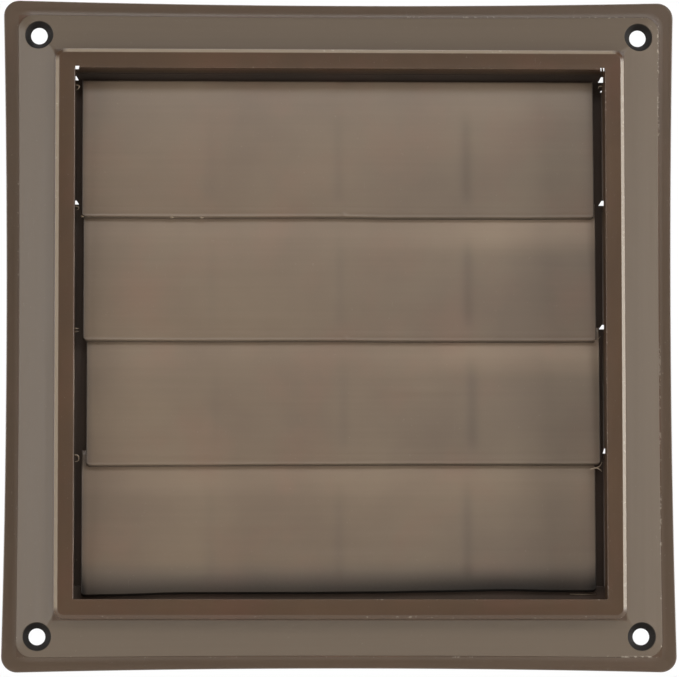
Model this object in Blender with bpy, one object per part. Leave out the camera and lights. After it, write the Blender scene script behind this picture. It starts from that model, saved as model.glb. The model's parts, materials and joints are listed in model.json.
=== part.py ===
"""Louvred wall vent: a square moulded frame with gravity flaps hung on their own pins.

Metres, +Z up. The front faces -Y and +X is to the right seen from the front. The origin is the
centre of the opening on the wall plane, so the flange's back face lies on Y = 0. Below, a height
is measured out from the wall, towards the viewer, and a half size from the centre outwards.
"""

import math

import bmesh
import bpy
from mathutils import Matrix

MM = 0.001

# Frame, seen from the front, from the opening outwards
OPENING_SIZE = 149.4 * MM
RING_WIDTH = 5.45 * MM
RISER_RUN = 0.15 * MM
BAND_WIDTH = 10.45 * MM
STEP_RUN = 0.15 * MM
RIM_WIDTH = 4.1 * MM
FLANGE_CORNER_RADIUS = 4.0 * MM
BAND_CORNER_RADIUS = 4.3 * MM
MITRE_CORNER_RADIUS = 0.5 * MM
RING_CORNER_RADIUS = 2.9 * MM
OPENING_CORNER_RADIUS = 0.3 * MM
FLANGE_BOW = 1.1 * MM
BAND_BOW = 0.5 * MM

# Frame, heights from the wall
FLANGE_THICKNESS = 2.0 * MM
STEP_HEIGHT = 0.4 * MM
BAND_RISE = 3.7 * MM
RISER_HEIGHT = 4.9 * MM
FLANGE_EDGE_RADIUS = 1.2 * MM
LIP_CURL_RUN = 1.5 * MM
LIP_CURL_RISE = 0.17 * MM
STEP_EDGE_RADIUS = 0.15 * MM
RISER_FILLET = 0.4 * MM
RING_OUTER_RADIUS = 1.3 * MM
RING_EDGE_RADIUS = 0.45 * MM
COLLAR_DEPTH = 6.0 * MM

# Frame, walls behind the face
COLLAR_WALL = 2.0 * MM
SKIN_WALL = 2.0 * MM
LEDGE_WIDTH = 3.7 * MM
LEDGE_SETBACK = 1.4 * MM
LEDGE_THICKNESS = 1.6 * MM
SILL_LAP = 2.2 * MM
BACK_RIB_THICKNESS = 1.2 * MM
BACK_SETBACK = 0.4 * MM
BACK_RIB_COUNT = 3

# Fixing holes in the corners of the band
SCREW_INSET = 5.75 * MM
SCREW_HOLE_DIAMETER = 4.7 * MM
SCREW_HEAD_DIAMETER = 7.9 * MM
SCREW_SEAT_HEIGHT = 0.7 * MM
SCREW_CONE_DEPTH = 3.3 * MM
BOSS_WALL = 2.5 * MM

# Flaps
FLAP_COUNT = 4
FLAP_WALL = 1.3 * MM
FLAP_OVERLAP = 3.0 * MM
LAST_FLAP_EXTRA = 0.95 * MM
FLAP_TOP_RISE = 1.4 * MM
FLAP_TOP_SLOPE = 0.12
FLAP_BOTTOM_SLOPE = 0.03
FLAP_SIDE_CLEARANCE = 2.35 * MM
FLAP_CORNER_RADIUS = 0.9 * MM
FLAP_SIDE_PLAY = 1.1 * MM
FLAP_PLAY_TAKEN = (-0.3, 0.1, 1.0, -0.2)
TOP_MARGIN = 3.7 * MM
BOTTOM_MARGIN = 2.7 * MM
LIP_HEIGHT = 1.7 * MM
LIP_SLANT = 0.7 * MM
LIP_GROOVE_INSET = 1.3 * MM
LIP_GROOVE_DEPTH = 0.15 * MM
LIP_BEAD_INSET = 0.7 * MM
LIP_EDGE_RADIUS = 0.3 * MM
FLAP_RIB_COUNT = 3
FLAP_RIB_THICKNESS = 1.0 * MM
FLAP_RIB_DEPTH = 1.2 * MM
FLAP_RIB_INSET = 4.0 * MM
FLAP_RIB_RUNOUT = 7.5 * MM

# Pivots
PIVOT_HEIGHT = 0.5 * MM
PIN_DIAMETER = 1.8 * MM
PIN_REACH = 1.7 * MM
PIN_ROOT = 0.4 * MM
PIN_CHAMFER = 0.25 * MM
PIN_CLEARANCE = 0.2 * MM
WINDOW_FOOT = 1.45 * MM
WINDOW_HEIGHT = 1.5 * MM
WINDOW_INSIDE = 1.05 * MM
WINDOW_OUTSIDE = 0.25 * MM
WINDOW_FRONT = 1.5 * MM
WINDOW_DRAFT = 0.7 * MM
WINDOW_RISE = 1.1 * MM
RELIEF_FRONT = 5.0 * MM
RELIEF_FOOT = 0.1 * MM
RELIEF_HEIGHT = 1.0 * MM
RELIEF_RISE = 1.6 * MM

# Clearances
SEAT_CLEARANCE = 0.3 * MM
CUT_PAST = 1.0 * MM

# Colours as sRGB, 0 to 255, and roughness
FRAME_COLOUR = (90, 75, 61)
FRAME_ROUGHNESS = 0.38
FLAP_COLOUR = (100, 86, 73)
FLAP_ROUGHNESS = 0.34

# Facets
SIDE_STEPS = 8
CORNER_STEPS = 6
EDGE_STEPS = 3
SCREW_STEPS = 24
PIN_STEPS = 16
FLAP_STEPS = 10
FLAP_TOP_STEPS = 6
FLAP_CORNER_STEPS = 4
SHARP_ANGLE = math.radians(30)
WELD_DISTANCE = 0.001 * MM

# Turns that carry a solid turned about Z to its axis
TO_FRONT = Matrix.Rotation(math.pi / 2, 4, "X")
TO_RIGHT = Matrix.Rotation(math.pi / 2, 4, "Y")
TO_LEFT = Matrix.Rotation(-math.pi / 2, 4, "Y")

OPENING_HALF = OPENING_SIZE / 2
RING_HALF = OPENING_HALF + RING_WIDTH
RISER_HALF = RING_HALF + RISER_RUN
BAND_HALF = RISER_HALF + BAND_WIDTH
STEP_HALF = BAND_HALF + STEP_RUN
FLANGE_HALF = STEP_HALF + RIM_WIDTH
STEP_TOP = FLANGE_THICKNESS + STEP_HEIGHT
BAND_TOP = STEP_TOP + BAND_RISE
RING_TOP = BAND_TOP + RISER_HEIGHT
COLLAR_HALF = OPENING_HALF + COLLAR_WALL
LEDGE_HALF = OPENING_HALF - LEDGE_WIDTH
LEDGE_FRONT = -LEDGE_SETBACK
LEDGE_BACK = LEDGE_FRONT - LEDGE_THICKNESS
SCREW_HALF = BAND_HALF - SCREW_INSET
BOSS_RADIUS = SCREW_HOLE_DIAMETER / 2 + BOSS_WALL

FLAP_PITCH = (OPENING_SIZE - TOP_MARGIN - BOTTOM_MARGIN - FLAP_OVERLAP) / FLAP_COUNT
FLAP_LENGTH = FLAP_PITCH + FLAP_OVERLAP
FLAP_HALF_WIDTH = OPENING_HALF - FLAP_SIDE_CLEARANCE
PIN_RADIUS = PIN_DIAMETER / 2
PIN_TIP = OPENING_HALF + PIN_REACH


def clear_scene():
    """Remove every object, so that the model starts in an empty scene."""
    for obj in list(bpy.data.objects):
        bpy.data.objects.remove(obj, do_unlink=True)


def add_collection(name):
    """Return a new collection linked to the scene."""
    group = bpy.data.collections.new(name)
    bpy.context.scene.collection.children.link(group)
    return group


def linear(channel):
    """Turn one sRGB channel, 0 to 255, into its linear value."""
    value = channel / 255
    return value / 12.92 if value <= 0.04045 else ((value + 0.055) / 1.055) ** 2.4


def plastic(name, colour, roughness):
    """Return an opaque plastic of an sRGB colour."""
    material = bpy.data.materials.new(name)
    material.use_nodes = True
    shader = material.node_tree.nodes["Principled BSDF"]
    shader.inputs["Base Color"].default_value = [linear(channel) for channel in colour] + [1.0]
    shader.inputs["Roughness"].default_value = roughness
    shader.inputs["Metallic"].default_value = 0.0
    return material


def add_object(name, shape, group):
    """Link a new smooth-shaded object that holds the bmesh, with its faces turned outwards."""
    bmesh.ops.recalc_face_normals(shape, faces=shape.faces)
    mesh = bpy.data.meshes.new(name)
    shape.to_mesh(mesh)
    shape.free()
    mesh.shade_smooth()
    mesh.set_sharp_from_angle(angle=SHARP_ANGLE)
    obj = bpy.data.objects.new(name, mesh)
    group.objects.link(obj)
    return obj


def hide_tool(obj):
    """Mark an object as a construction solid that isn't part of the vent."""
    obj.hide_render = True
    obj.display_type = "WIRE"
    return obj


def add_boolean(target, tool, operation):
    """Let the tool solid cut, join or bound the target."""
    modifier = target.modifiers.new(tool.name, "BOOLEAN")
    modifier.operation = operation
    modifier.solver = "EXACT"
    modifier.object = tool


def extrude_outline(shape, outline, place, low, high):
    """Add a prism to the bmesh: place turns an outline point and a depth into a position."""
    near = [shape.verts.new(place(point, low)) for point in outline]
    bottom = shape.faces.new(near)
    prism = bmesh.ops.extrude_face_region(shape, geom=[bottom])
    far = [item for item in prism["geom"] if isinstance(item, bmesh.types.BMVert)]
    start = place(outline[0], low)
    end = place(outline[0], high)
    step = [b - a for a, b in zip(start, end)]
    bmesh.ops.translate(shape, verts=far, vec=step)


def turn(shape, profile, steps, place):
    """Add a solid turned about Z from radius and Z pairs that start and end on the axis."""
    verts = [shape.verts.new((radius, 0.0, z)) for radius, z in profile]
    edges = [shape.edges.new(pair) for pair in zip(verts, verts[1:])]
    before = set(shape.verts) - set(verts)
    bmesh.ops.spin(
        shape,
        geom=verts + edges,
        axis=(0.0, 0.0, 1.0),
        cent=(0.0, 0.0, 0.0),
        angle=2 * math.pi,
        steps=steps,
        use_merge=True,
    )
    turned = [vert for vert in shape.verts if vert not in before]
    bmesh.ops.transform(shape, matrix=place, verts=turned)
    bmesh.ops.remove_doubles(shape, verts=turned, dist=WELD_DISTANCE)


def at_front(point, height):
    """Place an outline drawn in the front view at a height from the wall."""
    return (point[0], -height, point[1])


def across(point, x):
    """Place a section drawn as height and level at a place along X."""
    return (x, -point[0], point[1])


def along(point, z):
    """Place a section drawn as X and height at a level along Z."""
    return (point[0], -point[1], z)


def rounded_square(half, radius, bow):
    """Return a square's outline with round corners and sides that curve in by the bow."""
    straight = half - radius
    side = []
    for step in range(SIDE_STEPS):
        run = 2 * step / SIDE_STEPS - 1
        side.append((half - bow * (1 - run * run), straight * run))
    for step in range(CORNER_STEPS):
        angle = math.pi / 2 * step / CORNER_STEPS
        side.append((straight + radius * math.cos(angle), straight + radius * math.sin(angle)))
    outline = []
    for _ in range(4):
        outline.extend(side)
        side = [(-z, x) for x, z in side]
    return outline


def rounded_edge(half, height, radius, inwards):
    """Return half sizes and heights round an outer edge, from its side to its top."""
    points = []
    for step in range(EDGE_STEPS + 1):
        angle = math.pi / 2 * step / EDGE_STEPS
        reach = radius * (1 - math.cos(angle)) * inwards
        drop = radius * (1 - math.sin(angle))
        points.append((half - reach, height - drop))
    return points


def lip_curl():
    """Return the sections where the flange's lip curls up to the foot of the step."""
    sections = []
    for step in range(EDGE_STEPS + 1):
        share = step / EDGE_STEPS
        run = LIP_CURL_RUN * (1 - share)
        height = FLANGE_THICKNESS + LIP_CURL_RISE * share * share
        bow = BAND_BOW + (FLANGE_BOW - BAND_BOW) * run / RIM_WIDTH
        sections.append((STEP_HALF + run, height, BAND_CORNER_RADIUS + STEP_RUN, bow))
    return sections


def face_sections():
    """Return the frame's front skin as half size, height, corner radius and bow."""
    sections = [(FLANGE_HALF, 0.0, FLANGE_CORNER_RADIUS, FLANGE_BOW)]
    for half, height in rounded_edge(FLANGE_HALF, FLANGE_THICKNESS, FLANGE_EDGE_RADIUS, 1):
        radius = FLANGE_CORNER_RADIUS - (FLANGE_HALF - half)
        sections.append((half, height, radius, FLANGE_BOW))
    sections += lip_curl()
    wall = BAND_HALF + STEP_RUN / 2
    for half, height in rounded_edge(wall, STEP_TOP, STEP_EDGE_RADIUS, 1):
        radius = BAND_CORNER_RADIUS - (BAND_HALF - half)
        sections.append((half, height, radius, BAND_BOW))
    foot = BAND_TOP - RISER_FILLET * BAND_RISE / BAND_WIDTH
    sections.append((RISER_HALF + RISER_FILLET, foot, MITRE_CORNER_RADIUS, 0.0))
    riser_radius = RING_CORNER_RADIUS + RISER_RUN
    sections.append((RISER_HALF, BAND_TOP + RISER_FILLET, riser_radius, 0.0))
    for half, height in rounded_edge(RING_HALF, RING_TOP, RING_OUTER_RADIUS, 1):
        radius = RING_CORNER_RADIUS + (half - RING_HALF)
        sections.append((half, height, radius, 0.0))
    inner = rounded_edge(OPENING_HALF, RING_TOP, RING_EDGE_RADIUS, -1)
    for half, height in reversed(inner):
        radius = OPENING_CORNER_RADIUS + (half - OPENING_HALF)
        sections.append((half, height, radius, 0.0))
    return sections


def back_sections():
    """Return the collar, its ledge and the hollow behind the face, from front to back."""
    sharp = OPENING_CORNER_RADIUS
    slope = BAND_RISE / BAND_WIDTH
    band_drop = SKIN_WALL * math.sqrt(1 + slope * slope)
    hollow_top = RING_TOP - SKIN_WALL
    hollow_outer = BAND_HALF - SKIN_WALL
    return [
        (OPENING_HALF, LEDGE_FRONT, sharp, 0.0),
        (LEDGE_HALF, LEDGE_FRONT, sharp, 0.0),
        (LEDGE_HALF, LEDGE_BACK, sharp, 0.0),
        (OPENING_HALF, LEDGE_BACK, sharp, 0.0),
        (OPENING_HALF, -COLLAR_DEPTH, sharp, 0.0),
        (COLLAR_HALF, -COLLAR_DEPTH, sharp + COLLAR_WALL, 0.0),
        (COLLAR_HALF, hollow_top, sharp, 0.0),
        (RING_HALF - SKIN_WALL, hollow_top, sharp, 0.0),
        (RISER_HALF - SKIN_WALL, BAND_TOP - band_drop + slope * SKIN_WALL, sharp, 0.0),
        (hollow_outer, STEP_TOP - band_drop + slope * SKIN_WALL, BAND_CORNER_RADIUS, BAND_BOW),
        (hollow_outer, 0.0, BAND_CORNER_RADIUS, BAND_BOW),
    ]


def loft(shape, sections):
    """Skin closed outlines into one ring that also closes on itself."""
    rings = []
    for half, height, radius, bow in sections:
        outline = rounded_square(half, radius, bow)
        rings.append([shape.verts.new(at_front(point, height)) for point in outline])
    for ring, after in zip(rings, rings[1:] + rings[:1]):
        for index, vert in enumerate(ring):
            following = (index + 1) % len(ring)
            shape.faces.new((vert, ring[following], after[following], after[index]))
    bmesh.ops.triangulate(shape, faces=shape.faces)


def spread(length, count):
    """Return the places that share a length evenly, about its middle."""
    spacing = length / (count + 1)
    return [(index - (count - 1) / 2) * spacing for index in range(count)]


def corner_signs():
    """Return the four corners as pairs of signs."""
    return [(x, z) for x in (-1, 1) for z in (-1, 1)]


def screw_place(side, up):
    """Return where a corner's fixing hole stands, with its axis from the wall to the front."""
    return Matrix.Translation((side * SCREW_HALF, 0.0, up * SCREW_HALF)) @ TO_FRONT


def screw_bosses(group):
    """Return the four bosses that back the fixing holes, just clear of the wall."""
    profile = [
        (0.0, BACK_SETBACK),
        (BOSS_RADIUS, BACK_SETBACK),
        (BOSS_RADIUS, STEP_TOP),
        (0.0, STEP_TOP),
    ]
    shape = bmesh.new()
    for side, up in corner_signs():
        turn(shape, profile, SCREW_STEPS, screw_place(side, up))
    return hide_tool(add_object("screw_bosses", shape, group))


def screw_cuts(group):
    """Return the fixing holes: a straight hole, a cone for the screw head and a way out."""
    hole = SCREW_HOLE_DIAMETER / 2
    head = SCREW_HEAD_DIAMETER / 2
    rim = SCREW_SEAT_HEIGHT + SCREW_CONE_DEPTH
    profile = [
        (0.0, -CUT_PAST),
        (hole, -CUT_PAST),
        (hole, SCREW_SEAT_HEIGHT),
        (head, rim),
        (head, RING_TOP),
        (0.0, RING_TOP),
    ]
    shape = bmesh.new()
    for side, up in corner_signs():
        turn(shape, profile, SCREW_STEPS, screw_place(side, up))
    return hide_tool(add_object("screw_cuts", shape, group))


def back_ribs(group):
    """Return the ribs that cross the hollow behind the band, clear of the pins at the sides."""
    inside = OPENING_HALF + COLLAR_WALL / 2
    outside = BAND_HALF - SKIN_WALL / 2
    drop = SKIN_WALL / 2
    profile = [
        (inside, BACK_SETBACK),
        (inside, RING_TOP - drop),
        (RING_HALF - drop, RING_TOP - drop),
        (RISER_HALF - drop, BAND_TOP - drop),
        (outside, STEP_TOP - drop),
        (outside, BACK_SETBACK),
    ]
    half = BACK_RIB_THICKNESS / 2
    shape = bmesh.new()
    for x in spread(OPENING_SIZE, BACK_RIB_COUNT):
        for side in (-1, 1):
            upright = [(height, side * reach) for reach, height in profile]
            extrude_outline(shape, upright, across, x - half, x + half)
    for index in range(FLAP_COUNT):
        level = pivot_level(index) - FLAP_PITCH / 2
        for side in (-1, 1):
            sideways = [(side * reach, height) for reach, height in profile]
            extrude_outline(shape, sideways, along, level - half, level + half)
    return hide_tool(add_object("back_ribs", shape, group))


def flap_centre(reach):
    """Return how far the flap's middle surface stands out from its pivot at a reach down it."""
    bend = (FLAP_TOP_SLOPE - FLAP_BOTTOM_SLOPE) / (2 * FLAP_LENGTH)
    if reach < 0:
        return FLAP_TOP_SLOPE * reach
    return FLAP_TOP_SLOPE * reach - bend * reach * reach


def lip_back():
    """Return the depth of the lip's back, a seat clearance off the next flap's face."""
    return flap_centre(FLAP_OVERLAP) + FLAP_WALL / 2 + SEAT_CLEARANCE


def flap_section(length):
    """Return a flap's section as points of height and level about its pivot."""
    half = FLAP_WALL / 2
    crown = FLAP_TOP_RISE - half
    lip_top = length - LIP_HEIGHT
    edge = LIP_EDGE_RADIUS
    shoulder = edge * (1 - math.sqrt(0.5))
    front = flap_centre(length) + half
    points = []
    for step in range(FLAP_STEPS + 1):
        reach = lip_top * step / FLAP_STEPS
        points.append((flap_centre(reach) + half, -reach))
    groove = length - LIP_GROOVE_INSET
    points.append((flap_centre(groove) + half - LIP_GROOVE_DEPTH, -groove))
    points.append((front, LIP_BEAD_INSET - length))
    points.append((front, edge - length))
    points.append((front - shoulder, shoulder - length))
    points.append((front - edge, -length))
    points.append((lip_back() + edge, -length))
    points.append((lip_back(), edge - length))
    points.append((lip_back(), LIP_SLANT - length))
    for step in range(FLAP_STEPS, -1, -1):
        reach = (lip_top - LIP_SLANT) * step / FLAP_STEPS
        points.append((flap_centre(reach) - half, -reach))
    centre = flap_centre(-crown)
    for step in range(1, FLAP_TOP_STEPS):
        angle = math.pi - math.pi * step / FLAP_TOP_STEPS
        points.append((centre + half * math.cos(angle), crown + half * math.sin(angle)))
    return points


def flap_outline(length):
    """Return a flap's front outline, with round lower corners."""
    radius = FLAP_CORNER_RADIUS
    outline = [
        (-FLAP_HALF_WIDTH, FLAP_TOP_RISE + CUT_PAST),
        (FLAP_HALF_WIDTH, FLAP_TOP_RISE + CUT_PAST),
    ]
    for side in (1, -1):
        for step in range(FLAP_CORNER_STEPS + 1):
            place = step if side > 0 else FLAP_CORNER_STEPS - step
            angle = math.pi / 2 * place / FLAP_CORNER_STEPS
            x = FLAP_HALF_WIDTH - radius + radius * math.cos(angle)
            z = radius - length - radius * math.sin(angle)
            outline.append((side * x, z))
    return outline


def flap_ribs(group):
    """Return the ribs on the flap's back, whose sink marks show on its front."""
    top = FLAP_RIB_INSET
    bottom = FLAP_LENGTH - FLAP_RIB_INSET
    front = []
    back = []
    for step in range(FLAP_STEPS + 1):
        reach = top + (bottom - top) * step / FLAP_STEPS
        taper = min(1.0, min(reach - top, bottom - reach) / FLAP_RIB_RUNOUT)
        front.append((flap_centre(reach), -reach))
        back.append((flap_centre(reach) - FLAP_WALL / 2 - FLAP_RIB_DEPTH * taper, -reach))
    outline = front + back[::-1]
    half = FLAP_RIB_THICKNESS / 2
    shape = bmesh.new()
    for x in spread(2 * FLAP_HALF_WIDTH, FLAP_RIB_COUNT):
        extrude_outline(shape, outline, across, x - half, x + half)
    return hide_tool(add_object("flap_ribs", shape, group))


def flap_pins(group):
    """Return the two pins at the ends of the flap, each with a chamfered tip."""
    root = FLAP_HALF_WIDTH - PIN_ROOT
    profile = [
        (0.0, root),
        (PIN_RADIUS, root),
        (PIN_RADIUS, PIN_TIP - PIN_CHAMFER),
        (PIN_RADIUS - PIN_CHAMFER, PIN_TIP),
        (0.0, PIN_TIP),
    ]
    shape = bmesh.new()
    for place in (TO_LEFT, TO_RIGHT):
        turn(shape, profile, PIN_STEPS, place)
    return hide_tool(add_object("flap_pins", shape, group))


def build_flap_mesh(tools, length):
    """Return a finished flap mesh about its pivot."""
    blank = bmesh.new()
    extrude_outline(blank, flap_section(length), across, -OPENING_HALF, OPENING_HALF)
    flap = hide_tool(add_object("flap_blank", blank, tools))
    bound = bmesh.new()
    extrude_outline(bound, flap_outline(length), at_front, -OPENING_HALF, OPENING_HALF)
    outline = hide_tool(add_object("flap_outline", bound, tools))
    add_boolean(flap, outline, "INTERSECT")
    add_boolean(flap, flap_ribs(tools), "UNION")
    add_boolean(flap, flap_pins(tools), "UNION")
    bpy.context.view_layer.update()
    evaluated = flap.evaluated_get(bpy.context.evaluated_depsgraph_get())
    mesh = bpy.data.meshes.new_from_object(evaluated)
    mesh.name = "flap"
    return mesh


def pivot_level(index):
    """Return the level of a flap's pivot, counted from the top."""
    return OPENING_HALF - TOP_MARGIN - index * FLAP_PITCH


def bottom_sill(group):
    """Return the bar along the bottom of the opening that stops the lowest flap."""
    front = PIVOT_HEIGHT + lip_back() - SEAT_CLEARANCE
    top = BOTTOM_MARGIN - LAST_FLAP_EXTRA + SILL_LAP - OPENING_HALF
    floor = -OPENING_HALF - COLLAR_WALL / 2
    back = (LEDGE_FRONT + LEDGE_BACK) / 2
    outline = [(front, floor), (front, top), (back, top), (back, floor)]
    shape = bmesh.new()
    end = OPENING_HALF + COLLAR_WALL / 2
    extrude_outline(shape, outline, across, -end, end)
    return hide_tool(add_object("bottom_sill", shape, group))


def pivot_holes(group):
    """Return the holes in the collar's sides that carry the pins."""
    radius = PIN_RADIUS + PIN_CLEARANCE
    inner = OPENING_HALF - CUT_PAST
    outer = COLLAR_HALF + CUT_PAST
    profile = [(0.0, inner), (radius, inner), (radius, outer), (0.0, outer)]
    shape = bmesh.new()
    for index in range(FLAP_COUNT):
        pivot = Matrix.Translation((0.0, -PIVOT_HEIGHT, pivot_level(index)))
        for side in (TO_LEFT, TO_RIGHT):
            turn(shape, profile, PIN_STEPS, pivot @ side)
    return hide_tool(add_object("pivot_holes", shape, group))


def add_draft_cut(shape, front, front_height, rear):
    """Add a cut that widens from an outline at the front to one behind the collar."""
    rings = []
    for outline, height in ((front, front_height), (rear, -COLLAR_DEPTH - CUT_PAST)):
        rings.append([shape.verts.new(at_front(point, height)) for point in outline])
    for index in range(len(front)):
        following = (index + 1) % len(front)
        near = (rings[0][index], rings[0][following])
        shape.faces.new(near + (rings[1][following], rings[1][index]))
    for ring in rings:
        shape.faces.new(ring)


def shut_off_windows(group):
    """Return the see-through windows above the pivots and in the opening's upper corners."""
    shape = bmesh.new()
    inner = OPENING_HALF - WINDOW_INSIDE
    outer = OPENING_HALF + WINDOW_OUTSIDE
    wide = outer + WINDOW_DRAFT
    for side in (-1, 1):
        for index in range(FLAP_COUNT):
            foot = pivot_level(index) + WINDOW_FOOT
            top = foot + WINDOW_HEIGHT
            front = [(side * inner, foot), (side * outer, foot), (side * outer, top)]
            rear = [(side * inner, foot), (side * wide, foot), (side * wide, top + WINDOW_RISE)]
            add_draft_cut(shape, front, WINDOW_FRONT, rear)
        low = OPENING_HALF - RELIEF_FOOT
        high = low + RELIEF_HEIGHT
        corners = [(inner, low), (outer, low), (outer, high), (inner, high)]
        front = [(side * x, z) for x, z in corners]
        corners = [(inner, low), (wide, low), (wide, high), (inner, high)]
        rear = [(side * x, z + RELIEF_RISE) for x, z in corners]
        add_draft_cut(shape, front, RELIEF_FRONT, rear)
    return hide_tool(add_object("shut_off_windows", shape, group))


def build_frame(parts, tools):
    """Model the frame: the lofted face, its bosses, ribs and sill, then its holes."""
    shape = bmesh.new()
    loft(shape, face_sections() + back_sections())
    frame = add_object("frame", shape, parts)
    add_boolean(frame, screw_bosses(tools), "UNION")
    add_boolean(frame, back_ribs(tools), "UNION")
    add_boolean(frame, bottom_sill(tools), "UNION")
    add_boolean(frame, screw_cuts(tools), "DIFFERENCE")
    add_boolean(frame, pivot_holes(tools), "DIFFERENCE")
    add_boolean(frame, shut_off_windows(tools), "DIFFERENCE")
    frame.data.materials.append(plastic("frame_plastic", FRAME_COLOUR, FRAME_ROUGHNESS))


def build_flaps(parts, tools):
    """Hang the flaps on their pivots, each resting where its side play lets it."""
    usual = build_flap_mesh(tools, FLAP_LENGTH)
    last = build_flap_mesh(tools, FLAP_LENGTH + LAST_FLAP_EXTRA)
    finish = plastic("flap_plastic", FLAP_COLOUR, FLAP_ROUGHNESS)
    for mesh in (usual, last):
        mesh.materials.clear()
        mesh.materials.append(finish)
    for index in range(FLAP_COUNT):
        mesh = last if index == FLAP_COUNT - 1 else usual
        flap = bpy.data.objects.new(f"flap_{index + 1}", mesh)
        shift = FLAP_SIDE_PLAY * FLAP_PLAY_TAKEN[index % len(FLAP_PLAY_TAKEN)]
        flap.location = (shift, -PIVOT_HEIGHT, pivot_level(index))
        parts.objects.link(flap)


def main():
    """Build the vent."""
    clear_scene()
    parts = add_collection("louvred_wall_vent")
    tools = add_collection("construction")
    build_frame(parts, tools)
    build_flaps(parts, tools)


main()
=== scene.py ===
"""Looks of a louvred wall vent: its mouldings, their finishes, the light and the camera.

Metres, +Z up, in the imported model's frame: the vent's front faces -Y, the wall plane is Y = 0 and the
centre of the opening is at X = Z = 0. Each moulding is modelled again in the place of its solid, but
finer, and stands for it. Below, a height is measured out from the wall, a half size outwards from
the centre, and a reach down from a flap's pivot.
"""

import json
import logging
import math
from contextlib import contextmanager
from dataclasses import dataclass
from enum import Enum
from functools import partial
from typing import Callable, Iterator, Sequence

import bmesh
import bpy
from mathutils import Matrix, Vector


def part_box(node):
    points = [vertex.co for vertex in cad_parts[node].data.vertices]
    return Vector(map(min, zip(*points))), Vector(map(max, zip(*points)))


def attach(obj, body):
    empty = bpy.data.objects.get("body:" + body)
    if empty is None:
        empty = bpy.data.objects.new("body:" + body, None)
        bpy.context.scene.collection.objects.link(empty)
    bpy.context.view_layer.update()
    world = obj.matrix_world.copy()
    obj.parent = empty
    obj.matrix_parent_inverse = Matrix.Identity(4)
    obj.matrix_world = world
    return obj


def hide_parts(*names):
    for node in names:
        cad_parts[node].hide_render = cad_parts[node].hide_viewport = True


MM = 0.001
WELD = 0.001 * MM
CREASE = math.radians(32)
FLASH_CREASE = math.radians(50)
PHOTO_WIDTH = 679
SENSOR_WIDTH = 36.0

Outline = list[Vector]
Range = tuple[float, float]
Socket = bpy.types.NodeSocket
Add = Callable[..., Socket]

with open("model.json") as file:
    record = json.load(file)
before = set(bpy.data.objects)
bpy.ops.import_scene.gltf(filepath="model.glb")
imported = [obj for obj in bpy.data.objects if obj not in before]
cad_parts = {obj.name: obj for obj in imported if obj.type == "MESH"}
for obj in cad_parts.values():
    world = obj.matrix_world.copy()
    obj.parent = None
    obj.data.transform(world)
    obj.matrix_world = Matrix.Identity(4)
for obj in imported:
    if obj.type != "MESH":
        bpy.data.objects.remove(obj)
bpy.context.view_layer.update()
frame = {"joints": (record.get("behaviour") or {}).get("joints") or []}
report = logging.getLogger("vent")


class Joining(Enum):
    """How one solid is combined with another."""

    ADD = "UNION"
    CUT = "DIFFERENCE"


class Ends(Enum):
    """How the ends of a swept shape are closed."""

    CAPPED = "NGON"
    JOINED = "NOTHING"


def srgb(code: str) -> tuple[float, float, float, float]:
    """Turn an sRGB hex code into a linear colour.

    Args:
        code: six hex digits, red first.

    Returns:
        Red, green, blue and a full alpha, linear.
    """
    channels = [int(code[start:start + 2], 16) / 255 for start in (0, 2, 4)]
    linear = [c / 12.92 if c <= 0.04045 else ((c + 0.055) / 1.055) ** 2.4 for c in channels]
    return (*linear, 1.0)


def smooth_step(value: float, low: float, high: float) -> float:
    """Rise smoothly from 0 at low to 1 at high.

    Args:
        value: the place to read.
        low: where the rise starts.
        high: where it ends.

    Returns:
        A share from 0 to 1.
    """
    share = min(1.0, max(0.0, (value - low) / (high - low)))
    return share * share * (3 - 2 * share)


@dataclass(frozen=True)
class Bell:
    """A bell curve: its middle, how far off it falls to 1/e, and its height."""

    middle: float
    spread: float
    height: float = 1.0

    def at(self, value: float) -> float:
        """Return the curve's height at a value."""
        return self.height * math.exp(-(((value - self.middle) / self.spread) ** 2))


@contextmanager
def editing(piece: bpy.types.Object) -> Iterator[None]:
    """Open a piece in edit mode with nothing selected, and close it afterwards.

    Args:
        piece: the mesh object to work on.

    Returns:
        A context in which the piece is open.
    """
    bpy.ops.object.select_all(action="DESELECT")
    bpy.context.view_layer.objects.active = piece
    piece.select_set(True)
    bpy.ops.object.mode_set(mode="EDIT")
    bpy.ops.mesh.select_all(action="DESELECT")
    yield
    bpy.ops.object.mode_set(mode="OBJECT")


def pick_edges(piece: bpy.types.Object, test: Callable[[Vector, float], bool]) -> int:
    """Select the edges of a mesh that pass a test on their middle and fold, and nothing else.

    Args:
        piece: the mesh object, in edit mode.
        test: says whether an edge with this middle and this angle between its faces is wanted.

    Returns:
        How many were selected.
    """
    bpy.ops.mesh.select_mode(type="EDGE")
    bpy.ops.mesh.select_all(action="DESELECT")
    shape = bmesh.from_edit_mesh(piece.data)
    found = 0
    for edge in shape.edges:
        if test((edge.verts[0].co + edge.verts[1].co) / 2, edge.calc_face_angle(0.0)):
            edge.select_set(True)
            found += 1
    shape.select_flush_mode()
    bmesh.update_edit_mesh(piece.data)
    return found


def lay(piece: bpy.types.Object, outline: Outline) -> None:
    """Move the selected vertices to their stations on an outline.

    Args:
        piece: the mesh object, in edit mode.
        outline: a place for each station.
    """
    shape = bmesh.from_edit_mesh(piece.data)
    station = shape.verts.layers.int["station"]
    for vert in shape.verts:
        if vert.select:
            vert.co = outline[vert[station]]
    bmesh.update_edit_mesh(piece.data)


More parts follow.
